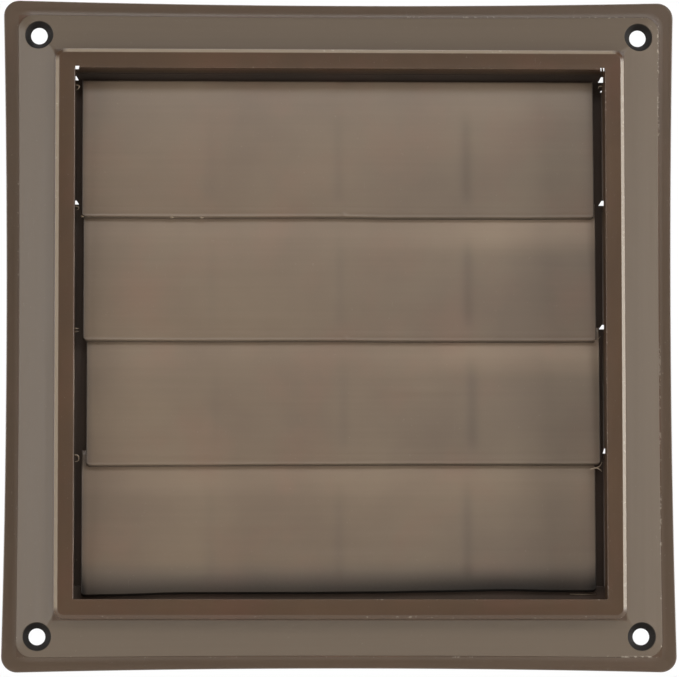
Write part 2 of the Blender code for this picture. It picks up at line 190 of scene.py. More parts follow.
def sweep(name: str, outlines: Sequence[Outline], ends: Ends) -> bpy.types.Object:
    """Extrude a closed outline from place to place and reshape it at each.

    Args:
        name: the piece's name.
        outlines: the outlines in order, each with the same count of points.
        ends: capped, or the last outline joined to the first.

    Returns:
        A closed piece with its faces turned outwards.
    """
    bpy.ops.object.select_all(action="DESELECT")
    bpy.ops.mesh.primitive_circle_add(vertices=len(outlines[0]), fill_type=ends.value)
    piece = bpy.context.active_object
    piece.name = name
    piece.data.name = name
    stations = piece.data.attributes.new("station", "INT", "POINT")
    stations.data.foreach_set("value", range(len(outlines[0])))
    route = list(outlines[1:])
    if ends is Ends.JOINED:
        route.append(outlines[0])
    with editing(piece):
        bpy.ops.mesh.select_all(action="SELECT")
        lay(piece, outlines[0])
        for outline in route:
            bpy.ops.mesh.extrude_region_move()
            lay(piece, outline)
        bpy.ops.mesh.select_all(action="SELECT")
        bpy.ops.mesh.remove_doubles(threshold=WELD)
        bpy.ops.mesh.normals_make_consistent(inside=False)
    piece.data.attributes.remove(piece.data.attributes["station"])
    return piece


def turned(name: str, profile: Sequence[tuple[float, float]], steps: int, place: Matrix) -> bpy.types.Object:
    """Spin a profile about its axis and set the solid in its place.

    Args:
        name: the piece's name.
        profile: radius and distance along the axis, from the axis back to the axis.
        steps: facets round the axis.
        place: carries the Z axis to where the solid belongs.

    Returns:
        A closed piece, its place in its mesh.
    """
    bpy.ops.object.select_all(action="DESELECT")
    bpy.ops.mesh.primitive_plane_add(size=MM)
    piece = bpy.context.active_object
    piece.name = name
    with editing(piece):
        bpy.ops.mesh.select_all(action="SELECT")
        bpy.ops.mesh.merge(type="CENTER")
        bpy.ops.mesh.select_all(action="SELECT")
        here = Vector((0.0, 0.0, 0.0))
        for radius, along in profile:
            there = Vector((radius, 0.0, along))
            step = {"value": there - here}
            if here == Vector((0.0, 0.0, 0.0)):
                bpy.ops.transform.translate(**step)
            else:
                bpy.ops.mesh.extrude_region_move(TRANSFORM_OT_translate=step)
            here = there
        bpy.ops.mesh.select_all(action="SELECT")
        bpy.ops.mesh.spin(steps=steps, angle=2 * math.pi, center=(0, 0, 0), axis=(0, 0, 1))
        bpy.ops.mesh.select_all(action="SELECT")
        bpy.ops.mesh.remove_doubles(threshold=WELD)
        bpy.ops.mesh.normals_make_consistent(inside=False)
    piece.data.transform(place)
    return piece


def copies(piece: bpy.types.Object, places: Sequence[Matrix]) -> list[bpy.types.Object]:
    """Copy a piece to each of its places, each copy with its own mesh, and use the piece up.

    Args:
        piece: the piece, modelled about the origin.
        places: what carries it to each place.

    Returns:
        The copies, in the order of the places.
    """
    made = []
    for place in places:
        bpy.ops.object.select_all(action="DESELECT")
        bpy.context.view_layer.objects.active = piece
        piece.select_set(True)
        bpy.ops.object.duplicate(linked=False)
        copy = bpy.context.active_object
        copy.data.transform(place)
        made.append(copy)
    bpy.data.objects.remove(piece, do_unlink=True)
    return made


def join(pieces: list[bpy.types.Object]) -> bpy.types.Object:
    """Join separate solids into one object.

    Args:
        pieces: the objects, which the first one takes in.

    Returns:
        The joined object.
    """
    bpy.ops.object.select_all(action="DESELECT")
    for piece in pieces:
        piece.select_set(True)
    bpy.context.view_layer.objects.active = pieces[0]
    bpy.ops.object.join()
    return pieces[0]


def combine(piece: bpy.types.Object, tool: bpy.types.Object, joining: Joining) -> None:
    """Add a tool solid to a piece or cut it away, close the seam and remove the tool.

    Args:
        piece: the piece that is changed.
        tool: the solid that is used up.
        joining: add or cut.
    """
    bpy.ops.object.select_all(action="DESELECT")
    bpy.context.view_layer.objects.active = piece
    piece.select_set(True)
    modifier = piece.modifiers.new(tool.name, "BOOLEAN")
    modifier.operation = joining.value
    modifier.solver = "EXACT"
    modifier.object = tool
    bpy.ops.object.modifier_apply(modifier=modifier.name)
    with editing(piece):
        bpy.ops.mesh.select_all(action="SELECT")
        bpy.ops.mesh.remove_doubles(threshold=WELD)
        bpy.ops.mesh.dissolve_degenerate(threshold=WELD)
    bpy.data.objects.remove(tool, do_unlink=True)


def smooth(piece: bpy.types.Object, sharp_angle: float) -> None:
    """Shade a piece smooth, with its flats kept flat up to their rounded edges.

    Args:
        piece: the finished mesh object.
        sharp_angle: edges over this stay sharp, in radians.
    """
    bpy.ops.object.select_all(action="DESELECT")
    bpy.context.view_layer.objects.active = piece
    piece.select_set(True)
    bpy.ops.object.shade_smooth_by_angle(angle=sharp_angle)
    flats = piece.modifiers.new("flats", "WEIGHTED_NORMAL")
    flats.keep_sharp = True
    bpy.ops.object.modifier_apply(modifier=flats.name)


def rounded(corners: Sequence[tuple[float, float, float]], steps: int) -> list[tuple[float, float]]:
    """Round the corners of a closed profile with arcs.

    Args:
        corners: each corner's two coordinates and the radius that rounds it, 0 for a plain point.
        steps: facets in each arc.

    Returns:
        The profile's points in order.
    """
    points = []
    for index, (across, up, radius) in enumerate(corners):
        if radius == 0:
            points.append((across, up))
            continue
        corner = Vector((across, up))
        before = (Vector(corners[index - 1][:2]) - corner).normalized()
        after = (Vector(corners[(index + 1) % len(corners)][:2]) - corner).normalized()
        opening = before.angle(after)
        start = corner + before * radius / math.tan(opening / 2)
        centre = corner + (before + after).normalized() * radius / math.sin(opening / 2)
        turn = math.copysign(math.pi - opening, before.cross(after))
        for step in range(steps + 1):
            spoke = start - centre
            spoke.rotate(Matrix.Rotation(-turn * step / steps, 2))
            points.append(tuple(centre + spoke))
    return points


def spread(length: float, count: int) -> list[float]:
    """Return the places that share a length evenly, about its middle."""
    return [(index - (count - 1) / 2) * length / (count + 1) for index in range(count)]


def add_node(
    tree: bpy.types.NodeTree,
    kind: str,
    inputs: Sequence[object] | dict[str | int, object] = (),
    output: str | int = 0,
    **settings: object,
) -> Socket:
    """Add a node with its settings and links.

    Args:
        tree: the node tree that takes it.
        kind: Blender's name for the node, after the words that all shader nodes share.
        inputs: a value or a socket for each input, in order, or by name or number.
        output: the output that is wanted.
        settings: attributes of the node.

    Returns:
        The output.
    """
    made = tree.nodes.new(f"ShaderNode{kind}")
    for name, value in settings.items():
        setattr(made, name, value)
    for key, value in inputs.items() if isinstance(inputs, dict) else enumerate(inputs):
        if isinstance(value, Socket):
            tree.links.new(value, made.inputs[key])
        else:
            made.inputs[key].default_value = value
    return made.outputs[output]


def place_material(piece: bpy.types.Object, material: bpy.types.Material) -> None:
    """Give a piece its one material."""
    piece.data.materials.clear()
    piece.data.materials.append(material)


class Flow(Enum):
    """How the melt ran as the tool filled, which its streaks still show."""

    ACROSS = "along X"
    AROUND = "along each side of a square"


@dataclass(frozen=True)
class WornEdge:
    """An edge of the frame that handling has scuffed: its half size, height, width and strength."""

    half: float
    height: float
    width: float
    strength: float


@dataclass(frozen=True)
class FrameZones:
    """Where the frame's skin differs: a satin slope with painted sheen, a painted highlight on the ring's outer edge,
    painted shade in the opening and the screw recesses.

    Each range is where a mask rises from 0 to 1. Half sizes and heights are the moulding's own.
    """

    flange_half: float
    screw_half: float
    slope_half: Range
    slope_height: Range
    ring_highlight_half: Range
    ring_highlight_height: Range
    ring_highlight_corner: Range
    ring_highlight_bottom: Range
    opening_half: Range
    opening_height: Range
    recess_radius: Range
    lip_half: Range
    # Painted sheen: the band's slope takes a paler tone.
    slope_sheen_tone: str = "675848"
    slope_roughness: float = 0.06
    # Painted highlight: the ring's outer edge takes a paler tone.
    ring_highlight_tone: str = "85745F"
    lip_tone: str = "594A3C"
    lip_share: float = 0.7
    # Painted shade deep in the opening and in the screw recesses.
    opening_shade: float = 0.48
    recess_shade: float = 0.92


@dataclass
class SkinMaps:
    """The sockets that the layers of a plastic share: places, noises and the masks of its zones."""

    place: Socket
    run: Socket
    streak: Socket
    speck: Socket
    slope: Socket | None = None
    ring_highlight: Socket | None = None
    lip: Socket | None = None
    painted_shade: Socket | None = None


@dataclass(frozen=True)
class MouldedPlastic:
    """Injection-moulded brown ABS from a polished tool that has seen wear.

    The eye gets a satin skin: nearly flat colour where it faces the viewer, a pale sheen where it
    slopes away, which on the frame's slope is also painted into the colour, faint streaks along the
    fill, a fine orange peel, pale dust and nicked edges. Where a point attribute named shade is
    given, the skin is darker there with painted shade, paler with painted light where it is below 0,
    and darker over sink marks. Each cut is the range of a noise over which a mark sets in.
    """

    name: str
    body: str
    cloud: str
    warm: str
    scuff: str
    roughness: float
    flow: Flow
    wear_and_highlight: tuple[WornEdge, ...] = ()
    zones: FrameZones | None = None
    shaded: bool = False
    grain: float = 0.55
    cloud_size: float = 34 * MM
    cloud_cut: Range = (0.35, 0.65)
    patch_size: float = 21 * MM
    warm_cut: Range = (0.5, 0.72)
    warm_share: float = 0.75
    streak_length: float = 70 * MM
    streak_width: float = 1.3 * MM
    streak_cut: Range = (0.3, 0.7)
    streak_level: Range = (0.975, 1.025)
    speck_size: float = 0.8 * MM
    dust_cut: Range = (0.7, 0.8)
    dust_share: float = 0.16
    scratch_width: float = 0.35 * MM
    scratch_length: float = 5 * MM
    scratch_cut: Range = (0.74, 0.84)
    scratch_share: float = 0.15
    chip_size: float = 1.1 * MM
    chip_cut: Range = (0.86, 0.92)
    chip_lean: Range = (-0.1, 0.02)
    chip_depth: float = 0.03 * MM
    nick_run: float = 17 * MM
    peel_size: float = 0.9 * MM
    peel_depth: float = 0.004 * MM
    gloss_cut: Range = (0.7, 1.4)
    gloss_change: Range = (-0.04, 0.06)
    bare_roughness: float = 0.3
    shade_roughness: float = 0.6
    ior: float = 1.53

    def build(self) -> bpy.types.Material:
        """Make the material.

        Returns:
            The material with its node tree.
        """
        material = bpy.data.materials.new(self.name)
        material.use_nodes = True
        tree = material.node_tree
        add = partial(add_node, tree)
        maps = self._maps(add)
        body, bare = self._marks(add, maps, self._body(add, maps))
        shader = tree.nodes["Principled BSDF"]
        tree.links.new(body, shader.inputs["Base Color"])
        tree.links.new(self._gloss(add, maps, bare), shader.inputs["Roughness"])
        tree.links.new(self._relief(add, maps, bare), shader.inputs["Normal"])
        shader.inputs["IOR"].default_value = self.ior
        shader.inputs["Metallic"].default_value = 0.0
        return material

    def _maps(self, add: Add) -> SkinMaps:
        """Lay out the places, the noise drawn out along the fill, the specks and the zones.

        Args:
            add: adds a node to the material.

        Returns:
            The shared sockets.
        """
        place = add("TexCoord", output="Object")
        run = self._run(add, place)
        stretch = (1 / self.streak_length, 1 / self.streak_width, 1 / self.streak_width)
        drawn = add("Mapping", {"Vector": run, "Scale": stretch})
        streak = add("TexNoise", {"Vector": drawn, "Scale": 1.0, "Detail": 4.0, "Roughness": 0.6})
        inputs = {"Vector": place, "Scale": 1 / self.speck_size, "Detail": 2.0, "Roughness": self.grain}
        maps = SkinMaps(place, run, streak, add("TexNoise", inputs))
        if self.zones:
            self._mark_zones(add, maps, self.zones)
        # On the flaps: painted shade from the shade attribute, and painted light where it is below 0.
        if self.shaded:
            maps.painted_shade = add("Attribute", output="Fac", attribute_name="shade")
        return maps

    def _run(self, add: Add, place: Socket) -> Socket:
        """Turn a place into distance along the fill, height, and distance across the fill.

        Round a frame the fill follows each side, so the streaks turn with it at the mitres.

        Args:
            add: adds a node to the material.
            place: the place on the object.

        Returns:
            The place as the fill runs.
        """
        if self.flow is Flow.ACROSS:
            return place
        split = add("SeparateXYZ", (place,)).node.outputs
        wide = add("Math", (split["X"],), operation="ABSOLUTE")
        tall = add("Math", (split["Z"],), operation="ABSOLUTE")
        upright = add("Math", (wide, tall), operation="GREATER_THAN")
        half = add("Math", (wide, tall), operation="MAXIMUM")
        along = add("Mix", {0: upright, 2: split["X"], 3: split["Z"]})
        return add("CombineXYZ", (along, split["Y"], half))

    def _mark_zones(self, add: Add, maps: SkinMaps, zones: FrameZones) -> None:
        """Find where the skin is the slope's with its painted sheen, the ring edge's with its painted highlight, or
        the lip's, and how much painted shade darkens it.

        Args:
            add: adds a node to the material.
            maps: the shared sockets, which take the masks.
            zones: where each zone is.
        """
        run = add("SeparateXYZ", (maps.run,)).node.outputs
        half = run["Z"]
        height = add("Math", (run["Y"], -1.0), operation="MULTIPLY")
        place = add("SeparateXYZ", (maps.place,)).node.outputs
        sizes = [add("Math", (place[axis],), operation="ABSOLUTE") for axis in ("X", "Z")]
        less = add("Math", sizes, operation="MINIMUM")
        squares = []
        for size in sizes:
            off = add("Math", (size, zones.screw_half), operation="SUBTRACT")
            squares.append(add("Math", (off, off), operation="MULTIPLY"))
        away = add("Math", (add("Math", squares, operation="ADD"),), operation="SQRT")
        maps.slope = self._mask(add, ((half, zones.slope_half), (height, zones.slope_height)))
        # Painted highlight along the ring's outer edge, left off at its corners and along the bottom.
        wear_and_highlight = ((half, zones.ring_highlight_half), (height, zones.ring_highlight_height), (less, zones.ring_highlight_corner))
        maps.ring_highlight = self._mask(add, (*wear_and_highlight, (place["Z"], zones.ring_highlight_bottom)))
        maps.lip = self._mask(add, ((half, zones.lip_half),), zones.lip_share)
        # Painted shade deep in the opening and in the screw recesses.
        deep = ((half, zones.opening_half), (height, zones.opening_height))
        opening = self._mask(add, deep, zones.opening_shade)
        recess = self._mask(add, ((away, zones.recess_radius),), zones.recess_shade)
        maps.painted_shade = add("Math", (opening, recess), operation="MAXIMUM")

    def _mask(self, add: Add, rises: Sequence[tuple[Socket, Range]], top: float = 1.0) -> Socket:
        """Multiply the rises of several values over their ranges.

        Args:
            add: adds a node to the material.
            rises: each value and the range over which it counts, which may run downwards.
            top: the highest that the mask gets.

        Returns:
            The mask, 0 to top.
        """
        mask: float | Socket = top
        for value, (low, high) in rises:
            rise = add("MapRange", (value, low, high))
            mask = add("Math", (rise, mask), operation="MULTIPLY")
        return mask

    def _body(self, add: Add, maps: SkinMaps) -> Socket:
        """Mix the colour: two tones in clouds, warmer patches, the zones' tones with painted sheen and highlight,
        streaks and painted shade.

        Args:
            add: adds a node to the material.
            maps: the shared sockets.

        Returns:
            The colour.
        """
        inputs = {"Vector": maps.place, "Scale": 1 / self.cloud_size, "Detail": 3.0, "Roughness": self.grain}
        cloud = add("TexNoise", inputs)
        inputs = {"Vector": maps.place, "Scale": 1 / self.patch_size, "Detail": 4.0, "Roughness": self.grain}
        patch = add("TexNoise", inputs)
        layers = [
            (add("MapRange", (cloud, *self.cloud_cut)), self.cloud),
            (add("MapRange", (patch, *self.warm_cut, 0.0, self.warm_share)), self.warm),
        ]
        if self.zones:
            layers.append((maps.slope, self.zones.slope_sheen_tone))
            layers.append((maps.ring_highlight, self.zones.ring_highlight_tone))
            layers.append((maps.lip, self.zones.lip_tone))
        tone: object = srgb(self.body)
        for share, code in layers:
            tone = add("Mix", {0: share, 6: tone, 7: srgb(code)}, 2, data_type="RGBA")
        level = add("MapRange", (maps.streak, *self.streak_cut, *self.streak_level))
        tone = add("HueSaturation", {"Value": level, "Color": tone})
        if maps.painted_shade:
            level = add("Math", (1.0, maps.painted_shade), operation="SUBTRACT")
            tone = add("HueSaturation", {"Value": level, "Color": tone})
        return tone

    def _marks(self, add: Add, maps: SkinMaps, body: Socket) -> tuple[Socket, Socket]:
        """Lay pale dust, hairline scratches and nicked edges over the colour.

        Args:
            add: adds a node to the material.
            maps: the shared sockets.
            body: the colour so far.

        Returns:
            The colour, and where the skin is broken, 0 to 1.
        """
        dust = add("MapRange", (maps.speck, *self.dust_cut, 0.0, self.dust_share))
        stretch = (1 / self.scratch_width, 1 / self.scratch_length, 1 / self.scratch_length)
        thin = add("Mapping", {"Vector": maps.place, "Scale": stretch})
        hair = add("TexNoise", {"Vector": thin, "Scale": 1.0, "Detail": 2.0})
        scratch = add("MapRange", (hair, *self.scratch_cut, 0.0, self.scratch_share))
        broken = add("Math", (dust, scratch), operation="MAXIMUM")
        if self.wear_and_highlight:
            broken = add("Math", (broken, self._nicks(add, maps)), operation="MAXIMUM")
        tone = add("Mix", {0: broken, 6: body, 7: srgb(self.scuff)}, 2, data_type="RGBA")
        return tone, broken

    def _nicks(self, add: Add, maps: SkinMaps) -> Socket:
        """Nick the worn edges with ragged chips, more of them to the right.

        Args:
            add: adds a node to the material.
            maps: the shared sockets.

        Returns:
            Where the edges are chipped, 0 to 1.
        """
        inputs = {"Vector": maps.place, "Scale": 1 / self.chip_size, "Detail": 3.0, "Roughness": self.grain}
        chip = add("TexNoise", inputs)
        inputs = {"Vector": maps.place, "Scale": 1 / self.nick_run, "Detail": 1.0, "Roughness": self.grain}
        long = add("TexNoise", inputs)
        side = add("SeparateXYZ", (maps.place,), "X")
        lean = add("MapRange", (side, -self.zones.flange_half, self.zones.flange_half, *self.chip_lean))
        ragged = add("Math", (long, 0.5, chip), operation="MULTIPLY_ADD")
        ragged = add("Math", (ragged, lean), operation="ADD")
        run = add("SeparateXYZ", (maps.run,)).node.outputs
        height = add("Math", (run["Y"], -1.0), operation="MULTIPLY")
        total: float | Socket = 0.0
        for edge in self.wear_and_highlight:
            out = add("Math", (run["Z"], edge.half), operation="SUBTRACT")
            up = add("Math", (height, edge.height), operation="SUBTRACT")
            away = add("Math", (out, out), operation="MULTIPLY")
            away = add("Math", (up, up, away), operation="MULTIPLY_ADD")
            away = add("Math", (away,), operation="SQRT")
            near = add("MapRange", (away, edge.width, 0.0, 0.0, edge.strength))
            total = add("Math", (near, total), operation="MAXIMUM")
        chips = add("MapRange", (ragged, *self.chip_cut))
        return add("Math", (total, chips), operation="MULTIPLY")

    def _gloss(self, add: Add, maps: SkinMaps, bare: Socket) -> Socket:
        """Work out the roughness, which follows the streaks and rises at marks, on the slope and where shade is
        painted.

        Args:
            add: adds a node to the material.
            maps: the shared sockets.
            bare: where the skin is broken.

        Returns:
            The roughness.
        """
        mixed = add("Math", (maps.streak, maps.speck), operation="ADD")
        ends = [self.roughness + change for change in self.gloss_change]
        skin = add("MapRange", (mixed, *self.gloss_cut, *ends))
        rises = [(bare, self.bare_roughness)]
        if self.zones:
            rises.append((maps.slope, self.zones.slope_roughness))
        if maps.painted_shade:
            rises.append((add("Math", (maps.painted_shade, 0.0), operation="MAXIMUM"), self.shade_roughness))
        for share, rise in rises:
            skin = add("Math", (share, rise, skin), operation="MULTIPLY_ADD")
        return skin

    def _relief(self, add: Add, maps: SkinMaps, bare: Socket) -> Socket:
        """Raise the orange peel and the streaks, and sink the marks.

        Args:
            add: adds a node to the material.
            maps: the shared sockets.
            bare: where the skin is broken.

        Returns:
            The normal.
        """
        inputs = {"Vector": maps.place, "Scale": 1 / self.peel_size, "Detail": 2.0, "Roughness": self.grain}
        layers = ((add("TexNoise", inputs), self.peel_depth), (maps.streak, self.peel_depth), (bare, -self.chip_depth))
        chain: dict[str, Socket] = {}
        for height, depth in layers:
            normal = add("Bump", {"Height": height, "Strength": 1.0, "Distance": depth, **chain})
            chain = {"Normal": normal}
        return normal


@dataclass(frozen=True)
class StudioPaper:
    """Seamless white studio paper, matt, with the faintest mottle.

    It is seen nearly white wherever the lamps don't reach, and it keeps the shadows.
    """

    name: str = "white_studio_paper"
    tone: str = "F2F2F0"
    mottle_tone: str = "ECECEA"
    mottle_size: float = 60 * MM
    roughness: float = 0.9
    glow: float = 0.7

    def build(self) -> bpy.types.Material:
        """Make the material.

        Returns:
            The material with its node tree.
        """
        material = bpy.data.materials.new(self.name)
        material.use_nodes = True
        tree = material.node_tree
        add = partial(add_node, tree)
        noise = add("TexNoise", {"Vector": add("TexCoord", output="Object"), "Scale": 1 / self.mottle_size})
        tone = add("Mix", {0: noise, 6: srgb(self.tone), 7: srgb(self.mottle_tone)}, 2, data_type="RGBA")
        paper = tree.nodes["Principled BSDF"]
        tree.links.new(tone, paper.inputs["Base Color"])
        paper.inputs["Roughness"].default_value = self.roughness
        ray = add("LightPath").node.outputs
        seen = ray["Is Camera Ray"]
        for kind in ("Is Glossy Ray", "Is Transmission Ray"):
            seen = add("Math", (seen, ray[kind]), operation="MAXIMUM")
        share = add("Math", (seen, self.glow), operation="MULTIPLY")
        both = add("MixShader", (share, paper.outputs[0], add("Emission", {"Color": tone, "Strength": 1.0})))
        tree.links.new(both, tree.nodes["Material Output"].inputs["Surface"])
        return material


@dataclass(frozen=True)
class Window:
    """A gap in the ledge that daylight shows through, beside a pin.

    Its half sizes are those on the ledge, its foot is a level above the pin, and the cut leans with
    the photograph's line of sight as far out as its front.
    """

    side: int
    pivot: int
    inner: float
    outer: float
    foot: float
    height: float
    front: float


@dataclass
class FrameMoulding:
    """The vent's one-piece frame: lip, step, mitred band, riser, ring, collar and ledge.

    Sizes run inwards from the flange's outer half size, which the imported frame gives.
    """

    flange_half: float
    collar_depth: float
    pivots: Sequence[Vector]
    sill_top: float
    rim_width: float = 4.1 * MM
    step_run: float = 0.15 * MM
    band_width: float = 10.45 * MM
    riser_run: float = 0.15 * MM
    ring_width: float = 5.45 * MM
    flange_thickness: float = 2.0 * MM
    curl_run: float = 1.5 * MM
    curl_rise: float = 0.17 * MM
    step_height: float = 0.4 * MM
    band_rise: float = 3.7 * MM
    riser_height: float = 4.9 * MM
    riser_fillet: float = 0.4 * MM
    riser_share: float = 0.8
    edge_run: float = 1.0 * MM
    edge_drop: float = 0.75 * MM
    flange_bow: float = 1.1 * MM
    band_bow: float = 0.5 * MM
    wall: float = 2.0 * MM
    ledge_width: float = 3.7 * MM
    ledge_setback: float = 1.4 * MM
    ledge_thickness: float = 1.6 * MM
    screw_inset: float = 5.75 * MM
    screw_hole: float = 2.35 * MM
    screw_head: float = 4.1 * MM
    screw_seat: float = 0.7 * MM
    screw_cone: float = 2.0 * MM
    boss_wall: float = 2.5 * MM
    back_setback: float = 0.4 * MM
    rib_thickness: float = 1.2 * MM
    rib_count: int = 3
    pin_hole: float = 1.1 * MM
    step_corner: float = 4.3 * MM
    mitre_corner: float = 0.5 * MM
    riser_corner: float = 3.05 * MM
    ring_corner: float = 2.9 * MM
    opening_corner: float = 0.3 * MM
    sharp_edge: float = 0.15 * MM
    flange_edge: float = 0.4 * MM
    step_edge: float = 0.14 * MM
    step_lead: float = 0.05 * MM
    band_lead: float = 0.4 * MM
    ring_edge: float = 0.25 * MM
    opening_edge: float = 0.3 * MM
    hollow_edge: float = 0.5 * MM
    boss_edge: float = 0.2 * MM
    cone_edge: float = 0.12 * MM
    rim_reach: float = 0.25 * MM
    rim_fold: float = 0.4
    rim_ease: float = 0.14 * MM
    sill_front: float = 1.5 * MM
    sill_root: float = 0.05 * MM
    sill_edge: float = 0.2 * MM
    lean_left: float = 0.017
    lean_right: float = 0.092
    sight_below: float = 114 * MM
    sight_distance: float = 1382 * MM
    window_taper: float = 0.4
    notch_foot: float = 0.65 * MM
    notch_rise: float = 0.3 * MM
    notch_taper: float = 0.2 * MM
    notch_shifts: Range = (0.3 * MM, 1.6 * MM)
    notch_lift: float = 2.6 * MM
    notches: tuple[tuple[int, float, float], ...] = (
        (-1, 73.45 * MM, 74.6 * MM),
        (1, 73.3 * MM, 73.75 * MM),
        (1, 74.05 * MM, 74.55 * MM),
    )
    windows: tuple[Window, ...] = (
        Window(-1, 0, 73.86 * MM, 74.97 * MM, 1.7 * MM, 1.2 * MM, 1.5 * MM),
        Window(-1, 1, 73.63 * MM, 74.79 * MM, 1.26 * MM, 1.1 * MM, 1.5 * MM),
        Window(1, 0, 73.85 * MM, 75.29 * MM, 1.62 * MM, 1.55 * MM, 6.0 * MM),
        Window(1, 1, 73.78 * MM, 75.28 * MM, 1.36 * MM, 1.4 * MM, 6.0 * MM),
        Window(1, 2, 73.76 * MM, 75.18 * MM, 1.13 * MM, 1.25 * MM, 6.0 * MM),
        Window(1, 3, 74.65 * MM, 75.35 * MM, 0.85 * MM, 1.4 * MM, 6.0 * MM),
        Window(1, 0, 74.42 * MM, 74.9 * MM, -1.15 * MM, 0.45 * MM, 4.0 * MM),
    )
    past: float = 1.0 * MM
    side_steps: int = 24
    arc_steps: int = 12
    band_steps: int = 8
    fillet_steps: int = 6
    boss_steps: int = 48
    screw_steps: int = 64
    pin_steps: int = 32

    def __post_init__(self) -> None:
        """Work out the half sizes and heights of the steps from the outside in."""
        self.step_half = self.flange_half - self.rim_width
        self.band_half = self.step_half - self.step_run
        self.riser_half = self.band_half - self.band_width
        self.ring_half = self.riser_half - self.riser_run
        self.opening_half = self.ring_half - self.ring_width
        self.collar_half = self.opening_half + self.wall
        self.ledge_half = self.opening_half - self.ledge_width
        self.step_top = self.flange_thickness + self.step_height
        self.band_top = self.step_top + self.band_rise
        self.ring_top = self.band_top + self.riser_height
        self.screw_half = self.band_half - self.screw_inset

    def build(self) -> bpy.types.Object:
        """Join the frame's solid parts, cut its holes and windows and round the recess rims.

        Returns:
            The finished moulding.
        """
        piece = self._skin()
        combine(piece, self._bosses(), Joining.ADD)
        combine(piece, self._ribs(), Joining.ADD)
        combine(piece, self._sill(), Joining.ADD)
        combine(piece, self._screw_cutters(), Joining.CUT)
        combine(piece, self._pin_cutters(), Joining.CUT)
        for cutter in self._window_cutters():
            combine(piece, cutter, Joining.CUT)
        self._ease_recess_rims(piece)
        smooth(piece, CREASE)
        return piece

    def worn_edges(self) -> tuple[WornEdge, ...]:
        """Return the edges that stand proud and so get nicked.

        Returns:
            The edges, for the finish.
        """
        return (
            WornEdge(self.band_half, self.step_top, 0.45 * MM, 0.9),
            WornEdge(self.ring_half - 0.3 * MM, self.ring_top - 0.4 * MM, 0.8 * MM, 0.6),
            WornEdge(self.opening_half, self.ring_top, 0.45 * MM, 0.7),
        )

    def zones(self) -> FrameZones:
        """Return where the skin changes, for the finish: each range is where a change starts and ends.

        Returns:
            The zones of the skin.
        """
        foot = self.riser_half + self.riser_fillet
        edge = self.ring_half - self.edge_run
        edge_foot = self.ring_top - self.edge_drop
        return FrameZones(
            flange_half=self.flange_half,
            screw_half=self.screw_half,
            slope_half=(foot - 0.3 * MM, foot + 0.1 * MM),
            slope_height=(self.step_top - 0.15 * MM, self.step_top),
            # Where the painted highlight along the ring's outer edge lies.
            ring_highlight_half=(edge - 0.1 * MM, edge + 0.05 * MM),
            ring_highlight_height=(edge_foot - 0.3 * MM, edge_foot),
            ring_highlight_corner=(edge - 0.9 * MM, edge - 2.4 * MM),
            ring_highlight_bottom=(-edge, 2.0 * MM - edge),
            # Where painted shade darkens the opening and the screw recesses.
            opening_half=(self.opening_half + 0.3 * MM, self.opening_half + 0.05 * MM),
            opening_height=(self.ring_top - 2.5 * MM, -1.0 * MM),
            recess_radius=(self.screw_head + 0.02 * MM, self.screw_head - 0.25 * MM),
            lip_half=(self.band_half - 0.05 * MM, self.band_half + 0.1 * MM),
        )

    def _plan_radius(self, half: float) -> float:
        """Return how round the corners are, seen from the front, at a half size.

        The band's mitre is sharp at the riser's foot and opens out towards the step.

        Args:
            half: the half width of the outline.

        Returns:
            The corner radius there.
        """
        foot = self.riser_half + self.riser_fillet
        if half >= self.band_half:
            return self.step_corner + min(half - self.band_half, self.step_run)
        if half > foot:
            share = (half - foot) / (self.band_half - foot)
            return self.mitre_corner + (self.step_corner - self.mitre_corner) * share * share
        if half > self.riser_half:
            share = (half - self.riser_half) / self.riser_fillet
            return self.riser_corner + (self.mitre_corner - self.riser_corner) * share
        return max(self.opening_corner, self.ring_corner - (self.ring_half - half))

    def _bow(self, half: float) -> float:
        """Return how far a side's middle is drawn in at a half size.

        Args:
            half: the half width of the outline.

        Returns:
            How far its sides curve in.
        """
        if half < self.band_half:
            foot = self.riser_half + self.riser_fillet
            return self.band_bow * max(0.0, (half - foot) / (self.band_half - foot))
        share = min(1.0, (half - self.band_half) / (self.flange_half - self.band_half))
        return self.band_bow + (self.flange_bow - self.band_bow) * share

    def _outline(self, half: float, height: float) -> Outline:
        """Return a square with round corners and bowed sides, at a height.

        Args:
            half: the half width of the outline.
            height: its height off the wall.

        Returns:
            The points of one rounded square.
        """
        radius = self._plan_radius(half)
        straight = half - radius
        side = []
        for step in range(self.side_steps):
            run = 2 * step / self.side_steps - 1
            side.append((half - self._bow(half) * (1 - run * run), straight * run))
        for step in range(self.arc_steps):
            angle = math.pi / 2 * step / self.arc_steps
            side.append((straight + radius * math.cos(angle), straight + radius * math.sin(angle)))
        outline = []
        for _ in range(4):
            outline.extend(Vector((x, -height, z)) for x, z in side)
            side = [(-z, x) for x, z in side]
        return outline

    def _face(self) -> list[tuple[float, float, float]]:
        """Return the front's profile: lip and its curl, step, band, riser and ring.

        Returns:
            The half widths, heights and roundings of the front.
        """
        curl = []
        for step in range(self.fillet_steps + 1):
            share = step / self.fillet_steps
            run = self.curl_run * (1 - share)
            rise = self.curl_rise * share * share
            curl.append((self.step_half + run, self.flange_thickness + rise, 0.0))
        band = []
        foot = self.riser_half + self.riser_fillet
        for step in range(1, self.band_steps):
            share = step / self.band_steps
            lead = self.band_half - self.band_lead
            half = lead + (foot - lead) * share
            rise = self.band_rise * (self.band_half - half) / self.band_width
            band.append((half, self.step_top + rise, 0.0))
        return [
            (self.flange_half, 0.0, self.sharp_edge),
            (self.flange_half, self.flange_thickness, self.flange_edge),
            *curl,
            (self.band_half + self.step_lead, self.step_top, self.step_edge),
            *band,
            (self.riser_half, self.band_top, self.riser_fillet * self.riser_share),
            (self.ring_half, self.ring_top - self.edge_drop, self.ring_edge),
            (self.ring_half - self.edge_run, self.ring_top, self.ring_edge),
            (self.opening_half, self.ring_top, self.opening_edge),
        ]

